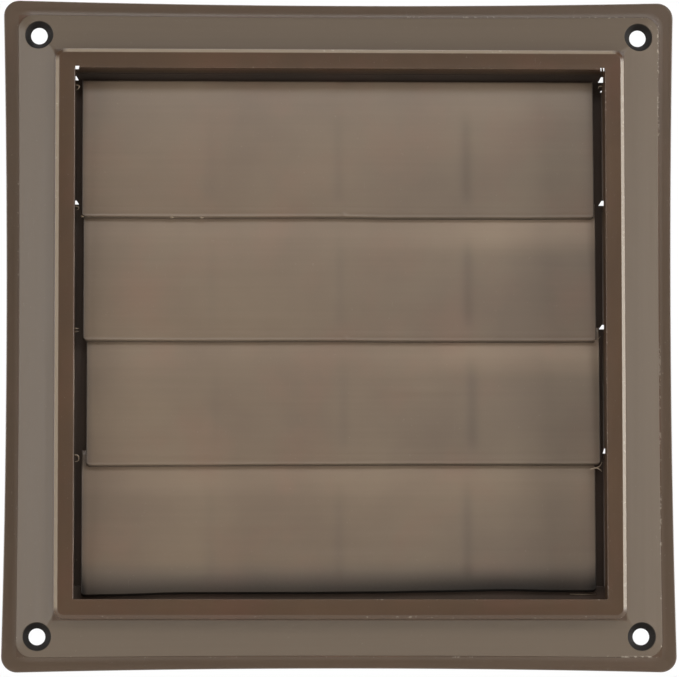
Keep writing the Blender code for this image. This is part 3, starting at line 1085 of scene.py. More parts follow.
    def _skin(self) -> bpy.types.Object:
        """Sweep the whole section round the square: face, collar, ledge and hollow back.

        Returns:
            The closed skin, before anything is cut.
        """
        slope = self.band_rise / self.band_width
        drop = self.wall * (math.sqrt(1 + slope * slope) - slope)
        sharp = self.sharp_edge
        ledge_back = -self.ledge_setback - self.ledge_thickness
        collar = [
            (self.opening_half, -self.ledge_setback, sharp),
            (self.ledge_half, -self.ledge_setback, sharp),
            (self.ledge_half, ledge_back, sharp),
            (self.opening_half, ledge_back, sharp),
            (self.opening_half, -self.collar_depth, sharp),
            (self.collar_half, -self.collar_depth, sharp),
        ]
        hollow = [
            (self.collar_half, self.ring_top - self.wall, sharp),
            (self.ring_half - self.wall, self.ring_top - self.wall, sharp),
            (self.riser_half - self.wall, self.band_top - drop, sharp),
            (self.band_half - self.wall, self.step_top - drop, self.hollow_edge),
            (self.band_half - self.wall, 0.0, sharp),
        ]
        profile = rounded(self._face() + collar + hollow, self.fillet_steps)
        return sweep("frame_moulding", [self._outline(half, height) for half, height in profile], Ends.JOINED)

    def _screw_places(self) -> list[Matrix]:
        """Return where the screw axes stand, from the wall to the front.

        Returns:
            One matrix for each screw.
        """
        facing = Matrix.Rotation(math.pi / 2, 4, "X")
        spots = [(x * self.screw_half, z * self.screw_half) for x in (-1, 1) for z in (-1, 1)]
        return [Matrix.Translation((x, 0.0, z)) @ facing for x, z in spots]

    def _bosses(self) -> bpy.types.Object:
        """Return the bosses that back the screw holes, their tops inside the slope of the band.

        Returns:
            The four bosses as one piece.
        """
        radius = self.screw_hole + self.boss_wall
        low = self.back_setback
        profile = [
            (0.0, low),
            (radius - self.boss_edge, low),
            (radius, low + self.boss_edge),
            (radius, self.step_top),
            (0.0, self.step_top),
        ]
        bosses = join(copies(turned("boss", profile, self.boss_steps, Matrix()), self._screw_places()))
        for vert in bosses.data.vertices:
            if vert.co.y < WELD - self.step_top:
                half = max(abs(vert.co.x), abs(vert.co.z))
                rise = self.band_rise * (self.band_half - half) / self.band_width
                vert.co.y = self.wall / 2 - self.step_top - rise
        return bosses

    def _screw_cutters(self) -> bpy.types.Object:
        """Return the holes: a straight bore, a deep cone for the screw head and a way out.

        Returns:
            The four cutters as one piece.
        """
        profile = [
            (0.0, -self.past),
            (self.screw_hole + self.past, -self.past),
            (self.screw_hole, self.sharp_edge),
            (self.screw_hole, self.screw_seat - self.sharp_edge),
            (self.screw_hole + self.cone_edge, self.screw_seat + self.cone_edge),
            (self.screw_head, self.screw_seat + self.screw_cone),
            (self.screw_head, self.ring_top),
            (0.0, self.ring_top),
        ]
        return join(copies(turned("screw_hole", profile, self.screw_steps, Matrix()), self._screw_places()))

    def _ease_recess_rims(self, piece: bpy.types.Object) -> None:
        """Round the rims where the screw recesses meet the band.

        Args:
            piece: the frame, with its recesses cut.
        """

        def on_rim(spot: Vector, fold: float) -> bool:
            """Say whether an edge is on a recess's rim.

            Args:
                spot: the middle of an edge.
                fold: the angle its faces make.

            Returns:
                Whether it belongs to a rim.
            """
            away = math.hypot(abs(spot.x) - self.screw_half, abs(spot.z) - self.screw_half)
            near = abs(away - self.screw_head) < self.rim_reach
            return near and spot.y < -self.step_top and fold > self.rim_fold

        with editing(piece):
            if pick_edges(piece, on_rim):
                bpy.ops.mesh.bevel(offset=self.rim_ease, segments=3, profile=0.5, clamp_overlap=True)

    def _ribs(self) -> bpy.types.Object:
        """Return the ribs that cross the hollow back, clear of the pins at the sides.

        Returns:
            The ribs as one piece.
        """
        drop = self.wall / 2
        profile = [
            (self.opening_half + drop, self.back_setback),
            (self.opening_half + drop, self.ring_top - drop),
            (self.ring_half - drop, self.ring_top - drop),
            (self.riser_half - drop, self.band_top - drop),
            (self.band_half - drop, self.step_top - drop),
            (self.band_half - drop, self.back_setback),
        ]
        half = self.rib_thickness / 2
        ends = [[Vector((x, -height, reach)) for reach, height in profile] for x in (-half, half)]
        places = []
        for x in spread(2 * self.opening_half, self.rib_count):
            for turn in (0.0, math.pi):
                places.append(Matrix.Translation((x, 0.0, 0.0)) @ Matrix.Rotation(turn, 4, "Y"))
        for pivot in self.pivots:
            z = pivot.z - (self.pivots[0].z - self.pivots[1].z) / 2
            for turn in (math.pi / 2, -math.pi / 2):
                places.append(Matrix.Translation((0.0, 0.0, z)) @ Matrix.Rotation(turn, 4, "Y"))
        return join(copies(sweep("rib", ends, Ends.CAPPED), places))

    def _sill(self) -> bpy.types.Object:
        """Return the bar along the bottom of the opening that stops the lowest flap.

        Returns:
            The sill.
        """
        floor = -self.opening_half - self.wall / 2
        back = -self.ledge_setback - self.ledge_thickness / 2
        corners = [
            (back, floor, self.sill_root),
            (back, self.sill_top, self.sharp_edge),
            (self.sill_front, self.sill_top, self.sill_edge),
            (self.sill_front, floor, self.sill_root),
        ]
        end = self.opening_half + self.wall / 2
        profile = rounded(corners, self.fillet_steps)
        ends = [[Vector((x, -height, z)) for height, z in profile] for x in (-end, end)]
        return sweep("sill", ends, Ends.CAPPED)

    def _pin_cutters(self) -> bpy.types.Object:
        """Return the holes in the collar's sides that carry the flaps' pins.

        Returns:
            The cutters as one piece.
        """
        inner = self.opening_half - self.past
        outer = self.collar_half + self.past
        profile = [(0.0, inner), (self.pin_hole, inner), (self.pin_hole, outer), (0.0, outer)]
        turns = [Matrix.Rotation(turn, 4, "Y") for turn in (-math.pi / 2, math.pi / 2)]
        places = [Matrix.Translation(pivot) @ turn for pivot in self.pivots for turn in turns]
        return join(copies(turned("pin_hole", profile, self.pin_steps, Matrix()), places))

    def _window_cutters(self) -> list[bpy.types.Object]:
        """Return the see-through windows above the pins and in the opening's upper corners.

        Returns:
            The cutters, each a piece of its own.
        """
        made = []
        for window in self.windows:
            low = self.pivots[window.pivot].z + window.foot
            high = low + window.height
            narrow = window.outer - self.window_taper * (window.outer - window.inner)
            outline = [(window.inner, low), (window.outer, low), (window.outer, high), (narrow, high)]
            lean = self.lean_right if window.side > 0 else self.lean_left
            ends = []
            for height in (window.front, -self.collar_depth - self.past):
                run = -self.ledge_setback - height
                rise = run / self.sight_distance
                ends.append([(x + lean * run, z + (z + self.sight_below) * rise) for x, z in outline])
            made.append(self._draft_cutter(window.side, ends[0], window.front, ends[1]))
        for side, inner, outer in self.notches:
            low = self.opening_half - self.notch_foot
            high = self.opening_half + self.notch_rise
            front = [(inner + self.notch_taper, low), (outer, low), (outer, high), (inner, high)]
            shift = self.notch_shifts[side > 0]
            rear = [(x + shift, z + self.notch_lift) for x, z in front]
            made.append(self._draft_cutter(side, front, self.ring_top + self.past, rear))
        return made

    def _draft_cutter(
        self,
        side: int,
        front: list[tuple[float, float]],
        front_height: float,
        rear: list[tuple[float, float]],
    ) -> bpy.types.Object:
        """Return a cutter that widens from its front to behind the collar.

        Args:
            side: -1 for the left of the opening, 1 for the right.
            front: the outline at the front, as half sizes and levels.
            front_height: where the cut ends towards the viewer.
            rear: the outline behind the collar.

        Returns:
            The cutter.
        """
        back = -self.collar_depth - self.past
        near = [Vector((side * x, -front_height, z)) for x, z in front]
        far = [Vector((side * x, -back, z)) for x, z in rear]
        return sweep("window", [near, far], Ends.CAPPED)


@dataclass
class FlapPlate:
    """The plate that all flaps are copies of: curved, with a lip, ribs behind and two pins.

    It is modelled about its pivot: x is the place across it, and a reach runs down from the pivot.
    """

    half_width: float = 72.35 * MM
    wall: float = 1.3 * MM
    length: float = 38.0 * MM
    overlap: float = 3.0 * MM
    top_rise: float = 1.4 * MM
    top_slope: float = 0.12
    bottom_slope: float = 0.03
    seat_gap: float = 0.3 * MM
    lip_height: float = 1.7 * MM
    lip_slant: float = 0.7 * MM
    lip_radius: float = 0.16 * MM
    lip_bevel: float = 0.45 * MM
    corner_radius: float = 0.9 * MM
    end_radius: float = 0.25 * MM
    mark_spread: float = 1.7 * MM
    rib_count: int = 3
    rib_thickness: float = 1.0 * MM
    rib_depth: float = 1.2 * MM
    rib_inset: float = 4.0 * MM
    rib_runout: float = 7.5 * MM
    pin_radius: float = 0.9 * MM
    pin_chamfer: float = 0.25 * MM
    pin_tip: float = 76.4 * MM
    pin_root: float = 0.4 * MM
    pin_fillet: float = 0.25 * MM
    fine_reach: float = 3.9 * MM
    corner_fade: Range = (4.0 * MM, 0.2 * MM)
    gate_step: float = 0.3 * MM
    end_gap: float = 0.05 * MM
    least_step: float = 0.14 * MM
    half_steps: int = 36
    corner_steps: int = 6
    mark_steps: int = 3
    mark_places: int = 7
    gate_places: tuple[int, int] = (-2, 13)
    pin_steps: int = 32
    face_steps: int = 30
    foot_steps: int = 26
    back_steps: int = 16
    crown_steps: int = 8
    edge_steps: int = 4

    def build(self) -> bpy.types.Object:
        """Return the plate with its ribs and pins.

        Returns:
            The finished plate.
        """
        section = self._section()
        outlines = [self._outline(section, x, inset) for x, inset in self._stations()]
        piece = sweep("flap_plate", outlines, Ends.CAPPED)
        combine(piece, self._ribs(), Joining.ADD)
        combine(piece, self._pins(), Joining.ADD)
        return piece

    def centre(self, reach: float) -> float:
        """Return how far the plate's middle surface stands out from the pivot at a reach.

        Args:
            reach: the distance down the plate.

        Returns:
            The height of its middle surface.
        """
        if reach < 0:
            return self.top_slope * reach
        bend = (self.top_slope - self.bottom_slope) / (2 * self.length)
        return self.top_slope * reach - bend * reach * reach

    def rib_places(self) -> list[float]:
        """Return where the ribs stand across the plate."""
        return spread(2 * self.half_width, self.rib_count)

    def _stations(self) -> list[tuple[float, float]]:
        """Return places across the plate, each with how far the section is drawn in there.

        Returns:
            Each place across, with its inset.
        """
        inner = self.half_width - self.end_radius
        ends = []
        for step in range(self.edge_steps + 1):
            angle = math.pi / 2 * step / self.edge_steps
            ends.append((inner + self.end_radius * math.sin(angle), self.end_radius * (1 - math.cos(angle))))
        plain = [inner * (step / self.half_steps - 1) for step in range(1, 2 * self.half_steps)]
        for sign in (-1, 1):
            for step in range(1, 2 * self.corner_steps):
                plain.append(sign * (inner - self.corner_radius * step / self.corner_steps))
        for rib in self.rib_places():
            for step in range(-self.mark_places, self.mark_places + 1):
                plain.append(rib + self.mark_spread * step / self.mark_steps)
        plain += [step * self.gate_step for step in range(*self.gate_places)]
        kept: list[float] = []
        for x in sorted(plain):
            if abs(x) < inner - self.end_gap and (not kept or x - kept[-1] > self.least_step):
                kept.append(x)
        left = [(-x, inset) for x, inset in reversed(ends)]
        return left + [(x, 0.0) for x in kept] + ends

    def _section(self) -> list[Vector]:
        """Return the section as heights from the pivot and reaches, front first.

        Returns:
            The points of the section.
        """
        half = self.wall / 2
        foot = self.length
        front = self.centre(foot) + half
        lip_back = self.centre(self.overlap) + half + self.seat_gap
        radius = self.lip_radius
        fine = foot - self.fine_reach
        points = []
        for step in range(self.face_steps):
            reach = fine * step / self.face_steps
            points.append((self.centre(reach) + half, reach))
        for step in range(self.foot_steps):
            reach = fine + (foot - self.lip_bevel - radius - fine) * step / self.foot_steps
            points.append((self.centre(reach) + half, reach))
        for step in range(self.edge_steps + 1):
            angle = math.pi / 2 * step / self.edge_steps
            drop = foot - self.lip_bevel - radius * (1 - math.sin(angle))
            points.append((front - radius * (1 - math.cos(angle)), drop))
        points.append((lip_back + radius, foot))
        points.append((lip_back + 0.3 * radius, foot - 0.3 * radius))
        points.append((lip_back, foot - radius))
        points.append((lip_back, foot - self.lip_slant))
        for step in range(self.back_steps, -1, -1):
            reach = (foot - self.lip_height - self.lip_slant) * step / self.back_steps
            points.append((self.centre(reach) - half, reach))
        crown = self.top_rise - half
        for step in range(1, self.crown_steps):
            angle = math.pi - math.pi * step / self.crown_steps
            points.append((self.centre(-crown) + half * math.cos(angle), -crown - half * math.sin(angle)))
        return [Vector(point) for point in points]

    def _outline(self, section: list[Vector], x: float, inset: float) -> Outline:
        """Return the section at a place across the plate, drawn in and cut for the round corners.

        Args:
            section: the plate's section.
            x: the place across.
            inset: how far in the end is rounded.

        Returns:
            The section's points there.
        """
        run = abs(x) - (self.half_width - self.corner_radius)
        corner = 0.0
        if run > 0:
            corner = self.corner_radius - math.sqrt(max(0.0, self.corner_radius ** 2 - run * run))
        shaped = []
        for index, point in enumerate(section):
            along = (section[(index + 1) % len(section)] - section[index - 1]).normalized()
            height = point.x + along.y * inset
            reach = point.y - along.x * inset
            reach -= corner * smooth_step(reach, *(self.length - up for up in self.corner_fade))
            shaped.append(Vector((x, -height, -reach)))
        return shaped

    def _ribs(self) -> bpy.types.Object:
        """Return the ribs on the plate's back, which run out towards both ends.

        Returns:
            The ribs as one piece.
        """
        bottom = self.length - self.rib_inset
        front = []
        back = []
        for step in range(self.back_steps + 1):
            reach = self.rib_inset + (bottom - self.rib_inset) * step / self.back_steps
            taper = min(1.0, min(reach - self.rib_inset, bottom - reach) / self.rib_runout)
            front.append((self.centre(reach), reach))
            back.append((self.centre(reach) - self.wall / 2 - self.rib_depth * taper, reach))
        half = self.rib_thickness / 2
        outlines = [[Vector((x, -h, -r)) for h, r in front + back[::-1]] for x in (-half, half)]
        places = [Matrix.Translation((x, 0.0, 0.0)) for x in self.rib_places()]
        return join(copies(sweep("flap_rib", outlines, Ends.CAPPED), places))

    def _pins(self) -> bpy.types.Object:
        """Return the pins, each with a rounded tip and a small fillet at its root.

        Returns:
            Both pins as one piece.
        """
        root = self.half_width - self.pin_root
        fillet = self.pin_fillet
        tip = self.pin_chamfer
        profile = [
            (0.0, root),
            (self.pin_radius + fillet, root),
            (self.pin_radius + fillet, self.half_width + 0.2 * fillet),
            (self.pin_radius + 0.32 * fillet, self.half_width + 0.6 * fillet),
            (self.pin_radius, self.half_width + 1.6 * fillet),
            (self.pin_radius, self.pin_tip - tip),
            (self.pin_radius - tip * 0.3, self.pin_tip - tip * 0.3),
            (self.pin_radius - tip, self.pin_tip),
            (0.0, self.pin_tip),
        ]
        places = [Matrix.Rotation(turn, 4, "Y") for turn in (-math.pi / 2, math.pi / 2)]
        return join(copies(turned("flap_pin", profile, self.pin_steps, Matrix()), places))


@dataclass
class HungFlap:
    """One copy of the plate as it came out of its tool and hangs: warped, sunk, marked and painted with light and
    shade.

    Drops are pairs of a place across the flap and how far its lower edge hangs down there.
    """

    label: str
    plate: FlapPlate
    pivot: Vector
    shift: float
    length: float
    drops: tuple[tuple[float, float], ...]
    gate_mark: float
    rim: float
    foot_shade: float
    lit_top: float
    lit_corner: float
    sinks: tuple[float, ...] = (0.25, 0.5, 1.0)
    sink_depth: float = 0.05 * MM
    sink_start: Range = (4 * MM, 14 * MM)
    sink_end: Range = (30 * MM, 36 * MM)
    drop_rise: Range = (9 * MM, 2 * MM)
    rim_lines: tuple[Bell, ...] = (
        Bell(1.2 * MM, 0.35 * MM, -0.045 * MM),
        Bell(3.1 * MM, 0.35 * MM, -0.012 * MM),
        Bell(0.5 * MM, 0.25 * MM, 0.015 * MM),
    )
    gate_across: Bell = Bell(1.5 * MM, 0.7 * MM)
    gate_up: Bell = Bell(0.9 * MM, 0.6 * MM)
    # Painted light on the top, fading out down this range, and more of it towards the upper right.
    lit_reach: Range = (5 * MM, 15 * MM)
    lit_right: Bell = Bell(58 * MM, 28 * MM)
    # Painted shade lower down; the patch towards the right is partly tone and partly painted shade.
    low_shade: Bell = Bell(30 * MM, 42 * MM, 0.12)
    low_shade_reach: Range = (12 * MM, 28 * MM)
    right_tone_and_shade: Bell = Bell(54 * MM, 22 * MM, 0.09)
    # Painted shade at the ends beside the frame's walls, on the end faces, at the foot and along the lip's underside.
    right_end: Range = (69 * MM, 72.4 * MM)
    right_shade: float = 0.16
    left_end: Range = (-72.3 * MM, -70.4 * MM)
    left_shade: float = 0.3
    end_shade: float = 0.5
    foot_rise: float = 10 * MM
    edge_rise: Range = (0.42 * MM, 0.28 * MM)
    edge_shade: float = 0.65
    sink_shade: float = 0.16
    darkest: float = 0.92

    def settle(self, piece: bpy.types.Object) -> bpy.types.Object:
        """Shape a copy of the plate into this flap, in its place.

        Args:
            piece: a copy of the plate, about its pivot.

        Returns:
            The finished flap.
        """
        piece.name = f"{self.label}_moulding"
        piece.data.name = piece.name
        # Each point's painted shade goes into the shade attribute, with painted light as values below 0.
        shades = []
        for vert in piece.data.vertices:
            shades.append(self._shade(vert.co.x, -vert.co.z))
        marks = piece.data.attributes.new("shade", "FLOAT", "POINT")
        marks.data.foreach_set("value", shades)
        with editing(piece):
            shape = bmesh.from_edit_mesh(piece.data)
            for vert in shape.verts:
                vert.co = self._settled(vert.co)
            bmesh.update_edit_mesh(piece.data)
        smooth(piece, CREASE)
        return piece

    def _settled(self, spot: Vector) -> Vector:
        """Return where a point of the plate comes to lie on this flap.

        Args:
            spot: a point of the plate.

        Returns:
            Where it lies on this flap.
        """
        height = -spot.y
        reach = -spot.z
        front = self.plate.centre(reach) + 0.4 * self.plate.wall
        if height > front and abs(spot.x) < self.plate.half_width:
            height += self._face_mark(spot.x, reach)
        drop = self._drop(spot.x) * smooth_step(reach, *(self.plate.length - up for up in self.drop_rise))
        if reach > 0:
            reach *= self.length / self.plate.length
        return Vector((spot.x + self.shift, self.pivot.y - height, self.pivot.z - reach - drop))

    def _face_mark(self, x: float, reach: float) -> float:
        """Return how far the front stands out or sinks at a place.

        Args:
            x: the place across.
            reach: the distance down the plate.

        Returns:
            The height added to the face.
        """
        up = self.plate.length - reach
        lines = sum(line.at(up) for line in self.rim_lines)
        gate = self.gate_mark * self.gate_across.at(x) * self.gate_up.at(up)
        return lines * self.rim + gate - self.sink_depth * self._sunk(x, reach)

    def _sunk(self, x: float, reach: float) -> float:
        """Return how much the skin has sunk over the ribs at a place, 0 to 1.

        Args:
            x: the place across.
            reach: the distance down the plate.

        Returns:
            The share of the full sink depth.
        """
        fade = smooth_step(reach, *self.sink_start) * (1 - smooth_step(reach, *self.sink_end))
        places = zip(self.plate.rib_places(), self.sinks)
        return fade * sum(Bell(rib, self.plate.mark_spread, share).at(x) for rib, share in places)

    def _shade(self, x: float, reach: float) -> float:
        """Return how much darker the skin is: over ribs, towards the right, and with painted shade lower down, at the
        ends, at the foot and along the lip's underside.

        The top is paler with painted light, most towards the upper right.

        Args:
            x: the place across.
            reach: the distance down the plate.

        Returns:
            The share of painted shade, below 0 where light is painted.
        """
        plate = self.plate
        below = smooth_step(reach, *self.lit_reach)
        shade = smooth_step(reach, *self.low_shade_reach) * self.low_shade.at(x) + below * self.right_tone_and_shade.at(x)
        shade -= (1 - below) * (self.lit_top + self.lit_corner * self.lit_right.at(x))
        shade += self.right_shade * smooth_step(x, *self.right_end)
        shade += self.left_shade * (1 - smooth_step(x, *self.left_end))
        if abs(x) > plate.half_width - plate.end_radius:
            shade += self.end_shade
        shade += self.foot_shade * smooth_step(reach, plate.length - self.foot_rise, plate.length)
        shade += self.edge_shade * smooth_step(reach, *(plate.length - up for up in self.edge_rise))
        return min(self.darkest, shade + self.sink_shade * self._sunk(x, reach))

    def _drop(self, x: float) -> float:
        """Return how far the lower edge hangs down at a place, between the known drops.

        Args:
            x: the place across.

        Returns:
            How far the lip hangs down there.
        """
        before = self.drops[0]
        for known in self.drops:
            if x < known[0]:
                share = smooth_step(x, before[0], known[0]) if known[0] > before[0] else 0.0
                return before[1] + (known[1] - before[1]) * share
            before = known
        return before[1]


@dataclass(frozen=True)
class Flash:
    """A hair or lip of plastic that squeezed out where two halves of the tool met.

    The route's points are places across, heights and levels, in millimetres.
    """

    name: str
    body: str
    thickness: float
    route: tuple[tuple[float, float, float], ...]
    facets: int = 8
    steps: int = 5
    tip: float = 0.25
    lead: float = 0.15

    def build(self) -> bpy.types.Object:
        """Return the hair, thinner towards its ends.

        Returns:
            The finished piece of flash.
        """
        points = self._course()
        outlines = []
        for index, point in enumerate(points):
            before = points[max(0, index - 1)]
            after = points[min(len(points) - 1, index + 1)]
            turn = (after - before).to_track_quat("Z", "Y")
            share = index / (len(points) - 1)
            swell = math.sin(math.pi * min(1.0, share + self.lead))
            radius = self.thickness / 2 * (self.tip + (1 - self.tip) * swell)
            ring = []
            for step in range(self.facets):
                angle = 2 * math.pi * step / self.facets
                ring.append(point + turn @ Vector((radius * math.cos(angle), radius * math.sin(angle), 0)))
            outlines.append(ring)
        piece = sweep(self.name, outlines, Ends.CAPPED)
        smooth(piece, FLASH_CREASE)
        return piece

    def _course(self) -> list[Vector]:
        """Return the route as a smooth run of places.

        Returns:
            The points along the route.
        """
        knots = [Vector((x * MM, -height * MM, z * MM)) for x, height, z in self.route]
        knots = [2 * knots[0] - knots[1], *knots, 2 * knots[-1] - knots[-2]]
        points = []
        for a, b, c, d in zip(knots, knots[1:], knots[2:], knots[3:]):
            for step in range(self.steps):
                t = step / self.steps
                bend = (2 * a - 5 * b + 4 * c - d) * t * t + (3 * b - a - 3 * c + d) * t ** 3
                points.append((2 * b + (c - a) * t + bend) / 2)
        points.append(knots[-2])
        return points


@dataclass(frozen=True)
class PhotoCamera:
    """The photograph's camera, found from the frame's corners, steps and holes."""

    place: tuple[float, float, float] = (-0.0512, -1.3823, -0.1140)
    pitch: float = 4.68
    roll: float = 0.05
    yaw: float = -2.12
    focal_pixels: float = 4908.0

    def build(self) -> bpy.types.Object:
        """Add the camera and make it the scene's.

        Returns:
            The camera.
        """
        data = bpy.data.cameras.new("photo_camera")
        data.sensor_width = SENSOR_WIDTH
        data.lens = self.focal_pixels * SENSOR_WIDTH / PHOTO_WIDTH
        camera = bpy.data.objects.new("photo_camera", data)
        camera.location = self.place
        camera.rotation_euler = [math.radians(a) for a in (90 + self.pitch, self.roll, self.yaw)]
        bpy.context.scene.collection.objects.link(camera)
        bpy.context.scene.camera = camera
        return camera


@dataclass(frozen=True)
class SoftBox:
    """A rectangular studio light with a diffuser, aimed at the vent."""

    name: str
    azimuth: float
    elevation: float
    distance: float
    width: float
    height: float
    watts: float
    tint: str = "FFFFFF"

    def build(self) -> bpy.types.Object:
        """Add the light. Azimuth 0 is in front of the vent, and 90 is to its right.

        Returns:
            The lamp.
        """
        data = bpy.data.lights.new(self.name, "AREA")
        data.shape = "RECTANGLE"
        data.size = self.width
        data.size_y = self.height
        data.energy = self.watts
        data.color = srgb(self.tint)[:3]
        lamp = bpy.data.objects.new(self.name, data)
        side = math.radians(self.azimuth)
        up = math.radians(self.elevation)
        towards = Vector((math.sin(side) * math.cos(up), -math.cos(side) * math.cos(up), math.sin(up)))
        lamp.location = towards * self.distance
        lamp.rotation_euler = towards.to_track_quat("Z", "Y").to_euler()
        bpy.context.scene.collection.objects.link(lamp)
        return lamp


@dataclass(frozen=True)
class Studio:
    """A white tent: pale floor, soft lamps at the sides and above, and a dim front."""

    floor_level: float = -0.30
    floor_size: float = 6.0
    tent_level: float = 0.01

    def build(self) -> None:
        """Add the floor, the lamps and the world."""
        self._floor()
        self._world()
        for lamp in (
            SoftBox("left_key", -45, 8, 1.5, 0.45, 0.8, 3.8),
            SoftBox("left_fill", -62, 8, 1.5, 0.45, 0.8, 4.0),
            SoftBox("left_side", -97, 6, 1.5, 0.5, 0.9, 4.1),
            SoftBox("left_rim", -115, 6, 1.5, 0.6, 0.9, 8.8),
            SoftBox("right_key", 70, 6, 1.5, 0.3, 0.9, 11.2),
            SoftBox("right_side", 80, 6, 1.5, 0.5, 0.9, 3.6),
            SoftBox("right_rim", 115, 6, 1.5, 0.6, 0.9, 10.7),
            SoftBox("corner_spot", 26, 22, 1.6, 0.3, 0.3, 3.5),
            SoftBox("front_strip", 0, 32, 1.6, 0.5, 0.25, 3.4),
            SoftBox("top_key", 0, 66, 1.5, 0.9, 0.5, 1.6),
            SoftBox("top_rim", 180, 72, 1.3, 1.0, 0.6, 14.1),
        ):
            lamp.build()

    def _floor(self) -> None:
        """Lay the floor well below the vent, which hangs on a wall."""
        bpy.ops.object.select_all(action="DESELECT")
        bpy.ops.mesh.primitive_plane_add(size=self.floor_size, location=(0, 0, self.floor_level))
        floor = bpy.context.active_object
        floor.name = "studio_floor"
        floor.data.transform(Matrix.Translation(floor.location))
        floor.location = (0.0, 0.0, 0.0)
        place_material(floor, StudioPaper().build())

    def _world(self) -> None:
        """Fill from all round at a low level, and stay pure white to the camera."""
        world = bpy.data.worlds.new("white_tent")
        bpy.context.scene.world = world
        world.use_nodes = True
        tree = world.node_tree
        tree.nodes.clear()
        add = partial(add_node, tree)
        tent = add("Background", (srgb("FFFFFF"), self.tent_level))
        white = add("Background", (srgb("FFFFFF"), 1.0))
        both = add("MixShader", (add("LightPath", output="Is Camera Ray"), tent, white))
        tree.links.new(both, tree.nodes.new("ShaderNodeOutputWorld").inputs["Surface"])


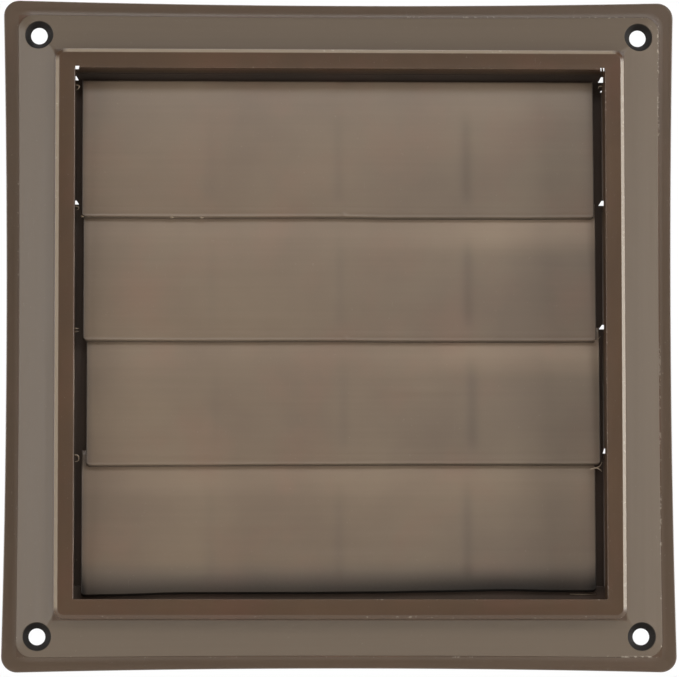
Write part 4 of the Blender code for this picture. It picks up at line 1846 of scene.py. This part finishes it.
@dataclass
class Vent:
    """The whole vent: one frame, the flaps that hang in it, and the flash left on both."""

    frame_tones: tuple[str, str, str, str] = ("56412F", "4E3B2B", "5B4030", "B3A797")
    flap_tones: tuple[str, str, str, str] = ("7F6E5C", "776656", "806958", "B3A797")
    flash_tones: tuple[str, str, str, str] = ("94836F", "877662", "9A8670", "C8BEB0")
    roughness: float = 0.34
    sill_rise: float = 2.2 * MM

    def build(self) -> None:
        """Model each moulding, dress it and let it ride on its body."""
        pivots = [Vector(joint["pos_m"]) for joint in frame["joints"]]
        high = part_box("frame")[1]
        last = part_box(f"flap_{len(pivots)}")[0]
        moulding = FrameMoulding(
            flange_half=high[0], collar_depth=high[1], pivots=pivots, sill_top=last[2] + self.sill_rise
        )
        finish = MouldedPlastic(
            "brown_abs_frame",
            *self.frame_tones,
            self.roughness,
            Flow.AROUND,
            wear_and_highlight=moulding.worn_edges(),
            zones=moulding.zones(),
        ).build()
        self._hand_over(moulding.build(), "frame", finish)
        thin = MouldedPlastic("stress_whitened_abs", *self.flash_tones, self.roughness, Flow.ACROSS).build()
        for lip in self._frame_flash():
            self._add(lip.build(), lip.body, thin)
        finish = MouldedPlastic("brown_abs_flap", *self.flap_tones, self.roughness, Flow.ACROSS, shaded=True).build()
        plate = FlapPlate()
        blanks = copies(plate.build(), [Matrix()] * len(pivots))
        for flap, blank in zip(self._flaps(plate, pivots), blanks):
            self._hand_over(flap.settle(blank), flap.label, finish)
        for lip in self._flap_flash():
            self._add(lip.build(), lip.body, thin)

    def _flaps(self, plate: FlapPlate, pivots: list[Vector]) -> list[HungFlap]:
        """Return the flaps, each with the warp of its lower edge and the gate mark that it shows.

        Args:
            plate: the plate that all four share.
            pivots: where each flap hangs.

        Returns:
            The four flaps.
        """
        drops = (
            ((-72, 0.0), (-42, 0.1), (-3, -0.08), (17, 0.12), (53, 0.08), (72, -0.05)),
            ((-72, 0.0), (-42, 0.06), (-3, -0.06), (17, 0.06), (53, 0.03), (72, -0.05)),
            ((-70, 0.3), (-45, 0.15), (-15, -0.03), (25, -0.2), (72, -0.25)),
            ((-72, 0.85), (-66, 0.7), (-42, 0.1), (-11, 0.05), (11, -0.1), (27, -0.4), (47, -0.75), (62, -0.5)),
        )
        gates = (0.16 * MM, 0.14 * MM, 0.05 * MM, 0.0)
        rims = (1.0, 1.0, 0.8, 0.0)
        # Painted shade at flap 4's foot, and painted light on each top and its upper right corner, with a little shade
        # there on flap 4.
        feet = (0.0, 0.0, 0.0, 0.74)
        lit_tops = (0.0, 0.12, 0.12, 0.18)
        lit_corners = (0.1, 0.36, 0.34, -0.1)
        flaps = []
        for index, pivot in enumerate(pivots):
            label = f"flap_{index + 1}"
            low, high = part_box(label)
            flaps.append(
                HungFlap(
                    label=label,
                    plate=plate,
                    pivot=pivot,
                    shift=(low[0] + high[0]) / 2,
                    length=pivot.z - low[2],
                    drops=tuple((x * MM, drop * MM) for x, drop in drops[index]),
                    gate_mark=gates[index],
                    rim=rims[index],
                    foot_shade=feet[index],
                    lit_top=lit_tops[index],
                    lit_corner=lit_corners[index],
                )
            )
        return flaps

    def _frame_flash(self) -> list[Flash]:
        """Return the flash on the frame: a lip on the sill, chips, burrs at the pins and an edge line.

        Returns:
            The flash of the frame.
        """
        places = (-75.0, -74.88, -74.98, -74.8, -74.9, -74.7, -74.8, -74.6, -74.65)
        levels = (70, 52, 38, 21, 3, -12, -30, -47, -62)
        rows = (
            ("sill_flash", 0.4, ((64.9, 1.6, -73.0), (68.5, 1.7, -73.15), (72.3, 1.6, -73.0))),
            ("ring_chip", 0.25, ((64.9, 10.75, 79.2), (67.3, 10.85, 79.15), (69.7, 10.75, 79.2))),
            ("burr_l1", 0.4, ((-74.8, 3.0, 70.9), (-73.7, 3.2, 70.5), (-73.8, 3.1, 69.8), (-74.5, 3, 69.3))),
            ("burr_l2", 0.4, ((-74.8, 3.0, 36.3), (-73.8, 3.2, 36.1), (-73.7, 3.1, 35.5), (-74.4, 3, 35.2))),
            ("burr_l3a", 0.4, ((-74.8, 3.0, 1.8), (-74.0, 3.1, 1.65), (-73.4, 3.0, 1.7))),
            ("burr_l3b", 0.4, ((-74.8, 3.0, 0.7), (-74.0, 3.1, 0.85), (-73.4, 3.0, 0.8))),
            ("burr_l4", 0.5, ((-74.8, 3.0, -33.9), (-73.6, 3.1, -34.3), (-73.5, 3.0, -35.5), (-74.6, 3, -36))),
            ("burr_r1", 0.4, ((74.8, 3.0, 71.0), (73.8, 3.1, 70.9), (73.5, 3.0, 70.3))),
            ("edge_line", 0.22, tuple((x, 10.75, z) for x, z in zip(places, levels))),
        )
        return [Flash(name, "frame", thickness * MM, route) for name, thickness, route in rows]

    def _flap_flash(self) -> list[Flash]:
        """Return the hairs and nibs along the flaps' lips.

        Returns:
            The flash of the flaps.
        """
        rows = (
            ("hair_3a", 3, 0.42, ((70.6, 3.6, -37.9), (72.0, 4.1, -37.6), (73.2, 4.4, -37.1), (74.0, 4.5, -35.9))),
            ("hair_3b", 3, 0.36, ((71.8, 3.9, -37.4), (73.0, 4.3, -37.8), (73.9, 4.5, -38.6))),
            ("hair_2", 2, 0.3, ((71.9, 3.3, -1.6), (72.9, 3.4, -1.2), (73.8, 3.5, -0.2))),
            ("nib_1a", 1, 0.55, ((-47.9, 3.75, 33.2), (-47.3, 3.9, 33.1), (-46.7, 3.75, 33.2))),
            ("nib_1b", 1, 0.55, ((-39.5, 3.75, 33.15), (-38.9, 3.9, 33.05), (-38.3, 3.75, 33.15))),
            ("nib_1c", 1, 0.6, ((-73.0, 3.4, 33.5), (-72.6, 3.6, 33.3), (-72.1, 3.6, 33.3))),
        )
        return [Flash(name, f"flap_{flap}", thickness * MM, route) for name, flap, thickness, route in rows]

    def _add(self, piece: bpy.types.Object, body: str, finish: bpy.types.Material) -> None:
        """Dress a finished piece and let it ride on a body.

        Args:
            piece: the finished piece.
            body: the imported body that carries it.
            finish: its material.
        """
        place_material(piece, finish)
        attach(piece, body)
        report.info("%s on %s: %d faces", piece.name, body, len(piece.data.polygons))

    def _hand_over(self, piece: bpy.types.Object, node: str, finish: bpy.types.Material) -> None:
        """Dress a finished moulding and let it stand for its node, whose body has the same name."""
        self._add(piece, node, finish)
        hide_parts(node)


def main() -> None:
    """Set up the view, then build and dress the vent."""
    logging.basicConfig(level=logging.INFO, format="%(message)s")
    bpy.context.scene.view_settings.view_transform = "Standard"
    PhotoCamera().build()
    Studio().build()
    Vent().build()


if __name__ == "__main__":
    main()
